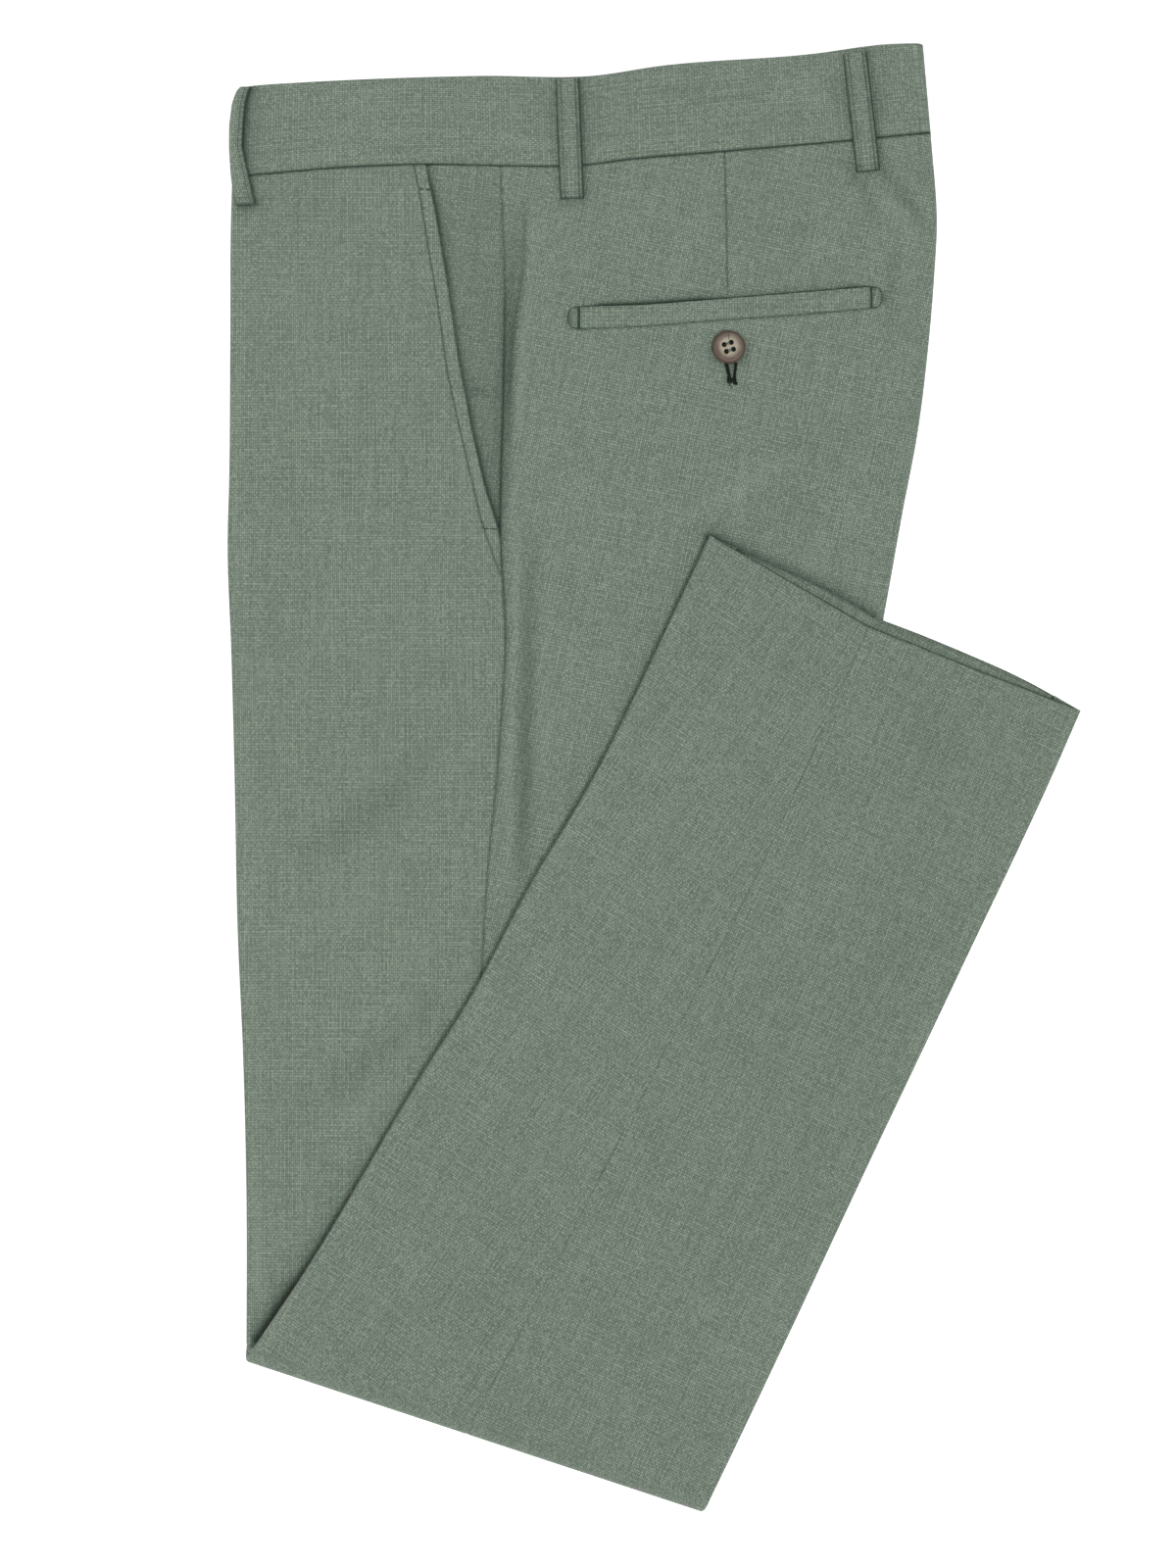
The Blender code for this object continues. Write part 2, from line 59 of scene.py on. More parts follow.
def add_camera():
    data = bpy.data.cameras.new("camera")
    data.lens = LENS
    data.sensor_width = SENSOR
    camera = bpy.data.objects.new("camera", data)
    height = CLOTH_HEIGHT + VIEW_LENGTH * LENS / SENSOR
    camera.location = [value * MM for value in (*VIEW_CENTRE, height)]
    bpy.context.collection.objects.link(camera)
    bpy.context.scene.camera = camera


add_camera()

Lamp = namedtuple("Lamp", "name place size power")
LAMPS = [
    Lamp("key", (0.8, -0.85, 3.5), 1.2, 69.0),
    Lamp("fill", (-1.1, 0.35, 1.0), 0.5, 4.2),
]
WORLD_LIGHT = 0.5


def add_lights():
    for lamp in LAMPS:
        data = bpy.data.lights.new(lamp.name, "AREA")
        data.shape = "DISK"
        data.size = lamp.size
        data.energy = lamp.power
        light = bpy.data.objects.new(lamp.name, data)
        light.location = lamp.place
        light.rotation_euler = (-Vector(lamp.place)).to_track_quat("-Z", "Y").to_euler()
        bpy.context.collection.objects.link(light)
    world = bpy.data.worlds.new("studio")
    world.use_nodes = True
    world.node_tree.nodes["Background"].inputs["Color"].default_value = (1, 1, 1, 1)
    world.node_tree.nodes["Background"].inputs["Strength"].default_value = WORLD_LIGHT
    bpy.context.scene.world = world
    bpy.context.scene.view_settings.view_transform = "Standard"


add_lights()

# ---------------------------------------------------------------- sizes

CLOTH = 0.6  # the cloth's thickness
GAP = 0.3  # between pieces
RETURN = 12.0  # how far a panel goes on under its stack, past the pressed crease
STACK = 6.7  # height of the stacked legs
KNEE_HALF = 7.7  # half of the height of the knee's fold
KNEE_ARC = math.pi * KNEE_HALF
KNEE_GAPE, KNEE_GAPE_LENGTH = 1.7, 70.0  # the fold's hollow, and where it has closed
OVERHANG_LENGTH = 50.0  # the folded leg sinks to the surface over this distance beside the thighs
PANEL_WALL = 1.0  # of the solid, which is thicker than the cloth
WAIST_LIFT = 1.8  # of the panels' underside, by the thicker band
WAIST_TOP_FRONT, WAIST_TOP_BACK = 9.1, 8.5
WAIST_LIFT_START, WAIST_LIFT_LENGTH = 18.0, 45.0
BAND_PROUD, BAND_STACK, BAND_RETURN = 0.3, 7.9, 95.0
CROTCH_DOWN, CROTCH_BLEND = 215.0, 30.0  # down from the waist, and how fast the seat seam becomes a crease
LOOP_WIDTH, LOOP_WALL, LOOP_BOW = 10.3, 1.2, 0.8

Spot = namedtuple("Spot", "x y")

FRONT_CREASE = [  # above the knee, waist seam downwards
    Spot(-193.7, 275.4), Spot(-194.4, 249.0), Spot(-194.8, 195.0), Spot(-195.2, 141.0),
    Spot(-196.0, 105.0), Spot(-194.4, 60.0), Spot(-192.8, 0.0), Spot(-191.4, -70.0),
    Spot(-188.8, -130.0), Spot(-187.2, -205.0), Spot(-187.3, -259.5),
]
SIDE_SEAM = [
    Spot(-70.6, 280.5), Spot(-68.6, 235.0), Spot(-69.3, 178.0), Spot(-70.4, 105.0),
    Spot(-68.4, 70.0), Spot(-71.1, 16.0), Spot(-77.3, -55.0), Spot(-80.0, -110.0),
    Spot(-85.1, -293.2),
]
SEAT_AND_BACK_CREASE = [
    Spot(127.1, 295.9), Spot(130.0, 252.0), Spot(128.9, 231.0), Spot(125.8, 195.0),
    Spot(121.3, 159.0), Spot(114.5, 123.0), Spot(106.0, 75.8), Spot(80.0, -53.0),
    Spot(51.0, -196.0), Spot(23.9, -329.2),
]
WAIST_SEAM_FRONT = [Spot(-193.7, 275.4), Spot(-133.4, 280.3), Spot(-104.2, 281.2), Spot(-70.6, 280.5)]
WAIST_SEAM_BACK = [
    Spot(-70.6, 280.5), Spot(-34.0, 280.7), Spot(-12.4, 283.4), Spot(32.4, 287.2),
    Spot(88.9, 292.1), Spot(127.1, 295.9),
]
KNEE_LINE_FRONT = [Spot(-187.3, -259.5), Spot(-85.1, -293.2)]
KNEE_LINE_BACK = [Spot(-85.1, -293.2), Spot(23.9, -329.2)]

LOWER_KNEE_FRONT = [Spot(-183.3, -260.8), Spot(-83.5, -293.8)]
LOWER_KNEE_BACK = [Spot(-83.5, -293.8), Spot(25.5, -329.8)]
LOWER_FRONT_CREASE = [  # below the knee, the fold towards the hem
    Spot(-183.3, -260.8), Spot(-161.8, -228.8), Spot(-102.4, -129.5), Spot(-88.0, -107.0),
    Spot(-55.1, -46.0), Spot(-31.3, -6.0), Spot(10.1, 78.0), Spot(25.4, 110.9),
]
LOWER_SIDE_SEAM = [
    Spot(-83.5, -293.8), Spot(-60.1, -251.0), Spot(-49.3, -230.0), Spot(7.0, -121.0),
    Spot(41.6, -55.0), Spot(70.9, 8.0), Spot(97.8, 69.1),
]
LOWER_BACK_CREASE = [
    Spot(25.5, -329.8), Spot(54.2, -270.7), Spot(97.4, -179.8), Spot(140.6, -88.9),
    Spot(183.8, 2.9), Spot(196.0, 30.8),
]
HEM_TOP_FRONT = [Spot(25.4, 110.9), Spot(97.8, 69.1)]
HEM_TOP_BACK = [Spot(97.8, 69.1), Spot(196.0, 30.8)]
UNDER_SIDE_SEAM = LOWER_SIDE_SEAM[:-1] + [Spot(100.4, 73.8)]
HEM_UNDER_FRONT = [Spot(25.4, 110.9), Spot(47.0, 100.6), Spot(82.1, 84.4), Spot(100.4, 73.8)]
HEM_UNDER_BACK = [Spot(100.4, 73.8), Spot(129.8, 62.8), Spot(173.0, 43.9), Spot(196.0, 30.8)]

BAND_TOP_EDGE = [
    Spot(-192.6, 315.8), Spot(-183.4, 317.0), Spot(-163.0, 318.4), Spot(-140.2, 319.6), Spot(-80.3, 321.5),
    Spot(-26.8, 321.7), Spot(2.0, 326.0), Spot(72.2, 331.6), Spot(108.2, 336.2), Spot(123.5, 336.6),
]

Mouth = namedtuple("Mouth", "down inset")
POCKET_MOUTH = [  # the slant pocket: how far in front of the side seam its edge runs
    Mouth(0, 34.0), Mouth(20, 31.0), Mouth(42, 28.2), Mouth(63, 25.0), Mouth(90, 20.5),
    Mouth(121, 14.0), Mouth(146, 7.6), Mouth(165, 1.3), Mouth(172, 0.0),
]
POCKET_LENGTH = POCKET_MOUTH[-2].down
POCKET_STITCHING = [  # the row of stitches beside it, down to the side seam
    Mouth(0, 39.6), Mouth(12, 37.8), Mouth(40, 34.7), Mouth(66, 30.6), Mouth(96, 25.8),
    Mouth(118, 20.6), Mouth(147, 12.8), Mouth(168, 7.4), Mouth(182, 2.6), Mouth(189, 0.6),
]

Loop = namedtuple("Loop", "name top bottom")


def loop_lines(loop):
    """A flat loop's ends, and the directions down and across it."""
    top, bottom = np.array(loop.top), np.array(loop.bottom)
    down = (bottom - top) / np.linalg.norm(bottom - top)
    return top, bottom, down, np.array([-down[1], down[0]])


FLAT_LOOPS = [
    Loop("side", Spot(-39.8, 321.4), Spot(-37.6, 265.3)),
    Loop("back", Spot(91.8, 333.2), Spot(98.1, 277.9)),
]
Wrap = namedtuple("Wrap", "y edge reach")
FRONT_LOOP = [  # the loop that is bent over the front edge: how far it comes in over the band
    Wrap(262.6, -190.5, 7.4), Wrap(268.0, -191.8, 7.4), Wrap(278.0, -193.0, 6.4), Wrap(289.0, -193.7, 4.6),
    Wrap(299.0, -193.6, 5.0), Wrap(309.0, -192.4, 4.7), Wrap(314.6, -190.4, 4.2), Wrap(316.4, -188.8, 3.4),
]

Welt = namedtuple("Welt", "x lower upper")
POCKET_WELT = [
    Welt(-34.0, 206.1, 216.0), Welt(-4.0, 207.4, 217.0), Welt(33.4, 210.5, 219.8),
    Welt(66.0, 212.6, 222.5), Welt(99.0, 215.6, 225.2),
]
DART = [Spot(32.2, 287.2), Spot(33.2, 252.0), Spot(33.6, 219.8)]

BUTTON_SPOT = Spot(34.2, 197.5)
BUTTON_RADIUS = 7.6
BUTTON_HOLE_RADIUS = 1.2
BUTTON_HOLE_SPREAD = 1.66
BUTTON_TURN = math.radians(18)
Bar = namedtuple("Bar", "start end width")
POCKET_TACKS = [  # at the front pocket's two ends
    Bar(Spot(-107.6, 269.9), Spot(-102.8, 269.5), 1.2), Bar(Spot(-78.0, 114.4), Spot(-71.8, 114.0), 1.2),
]
BUTTONHOLE = [  # its two stitched sides and the knot at its end
    Bar(Spot(33.0, 190.5), Spot(34.6, 183.4), 2.2), Bar(Spot(37.5, 190.5), Spot(36.7, 183.4), 1.8),
    Bar(Spot(33.4, 182.6), Spot(37.7, 182.3), 3.6), Bar(Spot(36.4, 181.2), Spot(38.2, 180.8), 2.0),
]
BUTTONHOLE_TAIL = [Spot(34.2, 181.4), Spot(34.8, 180.2), Spot(35.3, 179.2)]

# ---------------------------------------------------------------- curves and patches, over whole arrays


def column(table, name):
    """One named column of a table, as an array."""
    return np.array([getattr(row, name) for row in table], float)


def read(table, name, place):
    """A named column, read between the rows by the table's first column."""
    return np.interp(place, column(table, table[0]._fields[0]), column(table, name))


def through(spots):
    """A smooth curve through the spots, as a function of the share of its length."""
    knots = np.array(spots, float)
    steps = np.hypot(*np.diff(knots, axis=0).T)
    reach = np.concatenate([[0.0], np.cumsum(steps)])
    slopes = np.gradient(knots, reach, axis=0)

    def at(share):
        way = np.asarray(share, float) * reach[-1]
        i = np.clip(np.searchsorted(reach, way, side="right") - 1, 0, len(steps) - 1)
        step = steps[i][..., None]
        f = (way - reach[i])[..., None] / step
        ends = (1 + 2 * f) * (1 - f) ** 2 * knots[i] + f * f * (3 - 2 * f) * knots[i + 1]
        bends = f * (1 - f) ** 2 * slopes[i] - f * f * (1 - f) * slopes[i + 1]
        return ends + step * bends

    at.length = reach[-1]
    return at


def smooth(share):
    share = np.clip(share, 0.0, 1.0)
    return share * share * (3 - 2 * share)


class Patch:
    """The flat cloth between two guides that run down the leg, a start line and an end line."""

    def __init__(self, near, far, start, end):
        self.near, self.far, self.start, self.end = map(through, (near, far, start, end))

    def at(self, across, along):
        a, b = across[..., None], along[..., None]
        sides = (1 - a) * self.near(along) + a * self.far(along)
        ends = (1 - b) * self.start(across) + b * self.end(across)
        corners = (1 - b) * ((1 - a) * self.start(0.0) + a * self.start(1.0))
        corners = corners + b * ((1 - a) * self.end(0.0) + a * self.end(1.0))
        return sides + ends - corners

    def width(self, along):
        return np.linalg.norm(self.far(along) - self.near(along), axis=-1)


class Arm:
    """Half of the fold, above or below the knee: each row runs from the front crease to the back."""

    def __init__(self, front, seam, back, start, end):
        self.front_half = Patch(front, seam, start[0], end[0])
        self.back_half = Patch(seam, back, start[1], end[1])
        self.length = through(seam).length

    def widths(self, along):
        return self.front_half.width(along), self.back_half.width(along)

    def spot(self, along, reach):
        along, reach = np.broadcast_arrays(np.asarray(along, float), reach)
        front, back = self.widths(along)
        before = self.front_half.at(reach / front, along)
        behind = self.back_half.at((reach - front) / back, along)
        return np.where((reach <= front)[..., None], before, behind)


UPPER = Arm(
    FRONT_CREASE, SIDE_SEAM, SEAT_AND_BACK_CREASE,
    (WAIST_SEAM_FRONT, WAIST_SEAM_BACK), (KNEE_LINE_FRONT, KNEE_LINE_BACK),
)
LOWER_TOP = Arm(
    LOWER_FRONT_CREASE, LOWER_SIDE_SEAM, LOWER_BACK_CREASE,
    (LOWER_KNEE_FRONT, LOWER_KNEE_BACK), (HEM_TOP_FRONT, HEM_TOP_BACK),
)
LOWER_UNDER = Arm(
    LOWER_FRONT_CREASE, UNDER_SIDE_SEAM, LOWER_BACK_CREASE,
    (LOWER_KNEE_FRONT, LOWER_KNEE_BACK), (HEM_UNDER_FRONT, HEM_UNDER_BACK),
)

# ---------------------------------------------------------------- heights

KNEE_CORNER = np.array(KNEE_LINE_FRONT[0])
KNEE_ALONG = np.array(KNEE_LINE_BACK[1]) - KNEE_CORNER
KNEE_ALONG = KNEE_ALONG / np.linalg.norm(KNEE_ALONG)
KNEE_OUT = np.array([KNEE_ALONG[1], -KNEE_ALONG[0]])

WAIST_LINE = np.array(WAIST_SEAM_FRONT + WAIST_SEAM_BACK[1:])
BACK_LINE = np.array(SEAT_AND_BACK_CREASE[::-1])
FRONT_X, BACK_X = WAIST_LINE[0][0], WAIST_LINE[-1][0]


def waist_top(x):
    share = np.clip((x - FRONT_X) / (BACK_X - FRONT_X), 0.0, 1.0)
    return WAIST_TOP_FRONT + (WAIST_TOP_BACK - WAIST_TOP_FRONT) * share


def upper_height(spot, level):
    """Height of a level of the stack above the knee; it is thicker and held up near the waist."""
    below_waist = np.interp(spot[..., 0], WAIST_LINE[:, 0], WAIST_LINE[:, 1]) - spot[..., 1]
    lift = 1 - smooth((below_waist - WAIST_LIFT_START) / WAIST_LIFT_LENGTH)
    bottom = WAIST_LIFT * lift
    top = STACK + (waist_top(spot[..., 0]) - STACK) * lift
    return bottom + (top - bottom) * level / STACK


def lower_height(spot, level):
    """The same below the knee, upside down: it rests on the thighs, and beside them on the surface."""
    from_knee = -(spot - KNEE_CORNER) @ KNEE_OUT
    beside = spot[..., 0] - np.interp(spot[..., 1], BACK_LINE[:, 1], BACK_LINE[:, 0]) - PANEL_WALL
    sink = KNEE_GAPE * smooth(from_knee / KNEE_GAPE_LENGTH)
    sink = sink + (STACK + GAP) * smooth(beside / OVERHANG_LENGTH)
    return 2 * KNEE_HALF - level - sink


# A way is a distance down the leg from the waist seam, round the knee and on to the hem.

KNEE_START = UPPER.length
KNEE_END = KNEE_START + KNEE_ARC


def leg_widths(way, arm):
    """Widths of the front and the back half, from crease to side seam and on to the other edge."""
    upper = UPPER.widths(np.clip(way / UPPER.length, 0, 1))
    lower = arm.widths(np.clip((way - KNEE_END) / arm.length, 0, 1))
    below = way >= KNEE_END
    return np.where(below, lower[0], upper[0]), np.where(below, lower[1], upper[1])


def leg_place(way, reach, level, arm):
    """Points of a leg: reach is the distance from its front crease, level the height from its underside."""
    way, reach, level = np.broadcast_arrays(way, reach, level)
    points = np.empty(way.shape + (3,))

    upper = way <= KNEE_START
    spot = UPPER.spot(way[upper] / UPPER.length, reach[upper])
    points[upper] = np.column_stack([spot, upper_height(spot, level[upper])])

    knee = (way > KNEE_START) & (way < KNEE_END)
    turn = ((way[knee] - KNEE_START) / KNEE_ARC)[:, None]
    ratio = sum(LOWER_TOP.widths(0.0)) / sum(UPPER.widths(1.0))
    before = UPPER.spot(1.0, reach[knee])
    after = LOWER_TOP.spot(0.0, reach[knee] * ratio)
    arm_length = (KNEE_HALF - level[knee])[:, None]
    spot = before + (after - before) * turn + KNEE_OUT * arm_length * np.sin(math.pi * turn)
    points[knee] = np.column_stack([spot, KNEE_HALF - arm_length * np.cos(math.pi * turn)])

    lower = way >= KNEE_END
    spot = arm.spot((way[lower] - KNEE_END) / arm.length, reach[lower])
    points[lower] = np.column_stack([spot, lower_height(spot, level[lower])])
    return points


def laid_out(way, reach, level, arm):
    """The same points on the flat cloth: what is past the knee is turned back down."""
    way, reach, level = np.broadcast_arrays(way, reach, level)
    spots = UPPER.spot(np.clip(way / UPPER.length, 0, 1), reach)
    bend = np.abs(KNEE_HALF - level[..., None]) * math.pi
    turn = np.clip((way - KNEE_START) / KNEE_ARC, 0, 1)[..., None]
    spots = spots + KNEE_OUT * bend * turn
    lower = way >= KNEE_END
    spot = arm.spot((way[lower] - KNEE_END) / arm.length, reach[lower])
    from_knee = -(spot - KNEE_CORNER) @ KNEE_OUT
    spots[lower] = spot + KNEE_OUT * (2 * from_knee[:, None] + bend[lower])
    return spots


# ---------------------------------------------------------------- creases and dents

# spots are x and y; width is to each side; a ridge is high, a trough low; shade is painted shade for the
# sharp ones, and a painted highlight where it is negative
Fold = namedtuple("Fold", "spots width height shade", defaults=[None])
SOFT_SHADE = 0.11  # painted shade of a trough, for each millimetre; a ridge gets as much painted highlight

TOP_FOLDS = [
    # beside the side seam: a trough that narrows downwards, its sharp edge and the ridge behind it
    Fold([(-63.0, 265), (-64.2, 247), (-66.0, 218), (-67.6, 190), (-68.5, 120)], 3.6, -1.7, 0.36),
    Fold([(-58.7, 268), (-59.4, 248), (-60.5, 231), (-64.1, 208), (-67.4, 150)], 1.2, -0.6, 0.5),
    Fold([(-53.2, 270), (-55.1, 247), (-57.8, 220), (-60.5, 195), (-63.0, 155)], 2.8, 1.3, -0.1),
    Fold([(-60.5, 195), (-64.2, 140), (-63.8, 90), (-65.2, 20), (-68.0, -70)], 3.0, 1.1, -0.12),
    Fold([(-55.5, 118), (-57.4, 72), (-58.6, 20), (-60.8, -50), (-63.0, -96)], 3.6, -1.6, 0.36),
    Fold([(-49.5, 108), (-50.0, 40), (-52.0, -24)], 4.5, 0.5),
    # at the foot of the side loop
    Fold([(-31.0, 259), (-40.0, 251), (-49.0, 241)], 2.2, -0.6),
    Fold([(-33.0, 252), (-42.0, 244), (-50.0, 232)], 3.2, 0.4),
    # round the foot of the back loop, and by the end of the hip pocket
    Fold([(83.0, 288), (91.0, 277), (99.0, 265), (104.0, 250)], 3.0, -0.9, 0.2),
    Fold([(103.0, 281), (111.0, 272), (119.0, 262), (128.0, 249)], 3.0, -1.2, 0.26),
    Fold([(98.0, 270), (112.0, 258), (122.0, 243)], 4.0, 0.9),
    Fold([(38.0, 261), (56.0, 269), (73.0, 266)], 3.5, -0.5),
    Fold([(57.0, 245), (72.0, 254), (88.0, 250)], 4.5, -0.5),
    Fold([(108.5, 242), (108.5, 222), (106.5, 198)], 2.4, -0.9, 0.2),
    Fold([(115.5, 243), (115.5, 218), (112.0, 190)], 3.5, 0.5),
    # across the seat
    Fold([(10.0, 118), (36.0, 130), (56.0, 144), (72.0, 148)], 3.8, 0.9),
    Fold([(50.0, 153), (68.0, 154), (88.0, 144)], 3.5, -0.8),
    Fold([(22.0, 107), (50.0, 118), (79.0, 128)], 8.0, -0.6),
    Fold([(-20.0, 152), (4.0, 146), (24.0, 152)], 9.0, -0.35),
    # front of the thigh
    Fold([(-171.0, -40), (-140.0, -22), (-114.0, 0), (-95.0, 24)], 7.5, -1.4),
    Fold([(-162.0, -150), (-134.0, -133), (-112.0, -112), (-100.0, -92)], 6.5, -1.2, 0.16),
    Fold([(-150.0, -168), (-134.0, -152), (-118.0, -140)], 6.0, 0.5),
    Fold([(-184.5, -182), (-183.5, -212), (-181.0, -246)], 2.6, 0.2, -0.26),
    Fold([(-174.0, -80), (-150.0, -64), (-116.0, -38)], 10.0, 0.5),
    Fold([(-160.0, 60), (-134.0, 84), (-112.0, 118)], 12.0, 0.3),
    Fold([(-176.0, 240), (-160.0, 200), (-152.0, 150)], 14.0, 0.3),
    # a short dent across the pocket's mouth, and one on the facing beside its top
    Fold([(-115.0, 171), (-104.0, 178), (-93.0, 182)], 2.8, -0.5),
    Fold([(-94.0, 182), (-83.0, 178), (-69.0, 177)], 2.6, -0.5, 0.24),
    Fold([(-95.5, 264), (-94.0, 245), (-91.0, 224)], 4.0, -0.6),
]
LEG_FOLDS = [  # on the folded leg
    Fold([(34.0, -48), (-5.6, -120), (-28.0, -174), (-57.0, -226)], 3.4, 0.7, -0.05),
    Fold([(38.0, 60), (8.0, 4), (-40.0, -84), (-92.0, -176)], 12.0, 0.35),
    Fold([(116.0, -60), (92.0, -112), (52.0, -196)], 13.0, -0.4),
    Fold([(100.0, 44), (124.0, 30), (150.0, 4)], 10.0, -0.4),
    Fold([(-10.0, -150), (2.0, -166), (8.0, -186)], 7.0, -0.5),
    Fold([(-118.0, -246), (-84.0, -238), (-52.0, -250)], 8.0, -0.35),
    Fold([(-126.0, -208), (-112.0, -222), (-102.0, -240)], 6.0, 0.3),
    Fold([(20.0, -290), (34.0, -262), (40.0, -226)], 8.0, 0.35),
]
UNDER_FOLDS = [  # on the side that lies down, troughs only
    Fold([(-60.5, 250), (-64.0, 215), (-66.0, 150)], 4.0, -0.8),
    Fold([(-52.0, 90), (-55.0, 30), (-60.0, -40)], 7.0, -0.7),
    Fold([(30.0, 120), (58.0, 128), (88.0, 146)], 7.0, -0.8),
    Fold([(84.0, 268), (102.0, 256), (118.0, 240)], 5.0, -0.7),
    Fold([(-168.0, -20), (-138.0, -8), (-102.0, 18)], 9.0, -0.8),
    Fold([(-150.0, -180), (-110.0, -150), (-96.0, -120)], 8.0, -0.6),
    Fold([(-20.0, -60), (0.0, -120), (4.0, -200)], 10.0, -0.7),
    Fold([(40.0, 20), (52.0, -30), (46.0, -90)], 8.0, -0.6),
    Fold([(-140.0, 190), (-128.0, 150), (-126.0, 110)], 9.0, -0.5),
]
BAND_FOLDS = [
    Fold([(-29.5, 318), (-26.5, 304), (-28.0, 288)], 3.5, -0.8),
    Fold([(-47.0, 318), (-48.0, 300), (-46.0, 284)], 3.0, -0.5),
    Fold([(14.0, 325), (19.0, 314), (23.0, 300)], 6.0, -0.7),
    Fold([(82.5, 330), (84.5, 312), (88.0, 298)], 4.0, -0.9),
    Fold([(103.0, 334), (104.0, 316), (107.0, 300)], 3.5, -0.8),
    Fold([(66.0, 324), (74.0, 314), (77.0, 302)], 5.0, 0.5),
    Fold([(-150.0, 312), (-120.0, 306), (-96.0, 310)], 9.0, 0.3),
    Fold([(-182.0, 309), (-181.0, 294), (-182.0, 282)], 3.5, -0.7),
]

Ripple = namedtuple("Ripple", "length turn phase height")
RIPPLES = [  # slight unevenness everywhere
    Ripple(173.0, 0.35, 0.4, 0.10), Ripple(96.0, 1.75, 2.1, 0.07), Ripple(61.0, 1.1, 4.4, 0.05),
    Ripple(37.0, 2.5, 0.9, 0.035), Ripple(24.0, 0.1, 3.3, 0.02),
]
FOLD_SAMPLES = 24


def bell(distance, width):
    return np.exp(-((distance / width) ** 2))


def layered(*shades):
    """Shades one over the other, 0 open to 1 black."""
    light = 1.0
    for shade in shades:
        light = light * (1 - shade)
    return 1 - light


Shade = namedtuple("Shade", "strength reach")


def cast(distance, *shades):
    """Shades that fade with the distance from a line."""
    return layered(*(shade.strength * bell(distance, shade.reach) for shade in shades))


def distance_to(line, x, y):
    """Distance to a curve, and how far along it the nearest place is."""
    spots = line(np.linspace(0, 1, FOLD_SAMPLES))
    step = np.diff(spots, axis=0)
    from_x, from_y = x[..., None] - spots[:-1, 0], y[..., None] - spots[:-1, 1]
    share = np.clip((from_x * step[:, 0] + from_y * step[:, 1]) / (step**2).sum(axis=1), 0, 1)
    gaps = np.hypot(from_x - share * step[:, 0], from_y - share * step[:, 1])
    nearest = gaps.argmin(axis=-1)
    along = nearest + np.take_along_axis(share, nearest[..., None], -1)[..., 0]
    return gaps.min(axis=-1), along / (FOLD_SAMPLES - 1)


def relief(folds, x, y):
    """Height of the creases, and their painted shade and highlight."""
    height, shade = np.zeros(x.shape), np.zeros(x.shape)
    for ripple in RIPPLES:
        way = x * math.cos(ripple.turn) + y * math.sin(ripple.turn)
        height += ripple.height * np.sin(2 * math.pi * way / ripple.length + ripple.phase)
    for fold in folds:
        gap, share = distance_to(through(fold.spots), x, y)
        strength = -SOFT_SHADE * fold.height if fold.shade is None else fold.shade
        profile = np.sin(math.pi * share) ** 0.7 * bell(gap, fold.width)
        height += fold.height * profile
        shade = layered(shade, strength * profile)
    return height, shade


COVER_CLEARANCE = 16.0  # the thigh flattens out over this distance from what lies on it


def cover_outline():
    share = np.linspace(0, 1, FOLD_SAMPLES)
    lines = [LOWER_FRONT_CREASE, HEM_UNDER_FRONT, HEM_UNDER_BACK, LOWER_BACK_CREASE[::-1]]
    return np.concatenate([through(line)(share)[:-1] for line in lines])


COVER = cover_outline()


def uncovered(x, y):
    """1 on the open cloth, 0 where the folded leg lies on it."""
    flat_x, flat_y = x.ravel(), y.ravel()
    inside = np.zeros(flat_x.shape, bool)
    nearest = np.full(flat_x.shape, np.inf)
    for (x0, y0), (x1, y1) in zip(COVER, np.roll(COVER, -1, axis=0)):
        nearest = np.minimum(nearest, np.hypot(flat_x - x0, flat_y - y0))
        crosses = (y0 > flat_y) != (y1 > flat_y)
        with np.errstate(divide="ignore", invalid="ignore"):
            inside ^= crosses & (flat_x < x0 + (flat_y - y0) / (y1 - y0) * (x1 - x0))
    fade = np.where(inside, 0.0, smooth(nearest / COVER_CLEARANCE))
    return fade.reshape(x.shape)


def top_relief(x, y):
    height, shade = relief(TOP_FOLDS, x, y)
    open_cloth = uncovered(x, y)
    return height * open_cloth, shade * open_cloth


# ---------------------------------------------------------------- sections: pairs of inset and depth

ROLL_STEPS = 12
ROLL_ANGLES = np.radians(np.linspace(90, -90, ROLL_STEPS + 1))
RETURN_SHARES = np.array([0.3, 1.0])
SHORTEST_RETURN = 0.5
SEAM_CLEARANCE = 0.12


def crease_roll(stack, depth, length):
    """Round a pressed crease: inset, depth and how far round it is. The last few lie under the face."""
    outer = (stack - GAP) / 4
    radius = outer - depth
    length = np.asarray(length, float)[..., None]
    roll = [outer - radius * np.cos(ROLL_ANGLES), outer - radius * np.sin(ROLL_ANGLES)]
    roll.append(radius * (math.pi / 2 - ROLL_ANGLES))
    roll = np.broadcast_to(np.stack(roll, axis=-1), length.shape[:-1] + (ROLL_STEPS + 1, 3))
    back = length * RETURN_SHARES
    under = np.stack([outer + back, np.full_like(back, outer + radius), radius * math.pi + back], axis=-1)
    return np.concatenate([roll, under], axis=-2)


def seam_roll(stack, depth):
    """Round to a seam on the fold, at half the stack's height."""
    outer = stack / 2 - SEAM_CLEARANCE
    radius = outer - depth
    angles = np.linspace(0, math.pi / 2, ROLL_STEPS + 1 + len(RETURN_SHARES))
    inset, deep = (outer - radius * part for part in (np.sin(angles), np.cos(angles)))
    return np.stack([inset, deep, radius * angles], axis=-1)


def back_edge(seat, stack, depth):
    """From the crease, 0, to the seat seam, 1: the return shortens first, and then the roll opens."""
    length = np.maximum(RETURN * np.clip(1 - 2 * seat, 0, 1), SHORTEST_RETURN)
    crease = crease_roll(stack, depth, length)
    opened = np.clip(2 * seat - 1, 0, 1)[..., None, None]
    return crease + (seam_roll(stack, depth) - crease) * opened


Fan = namedtuple("Fan", "steps near far")


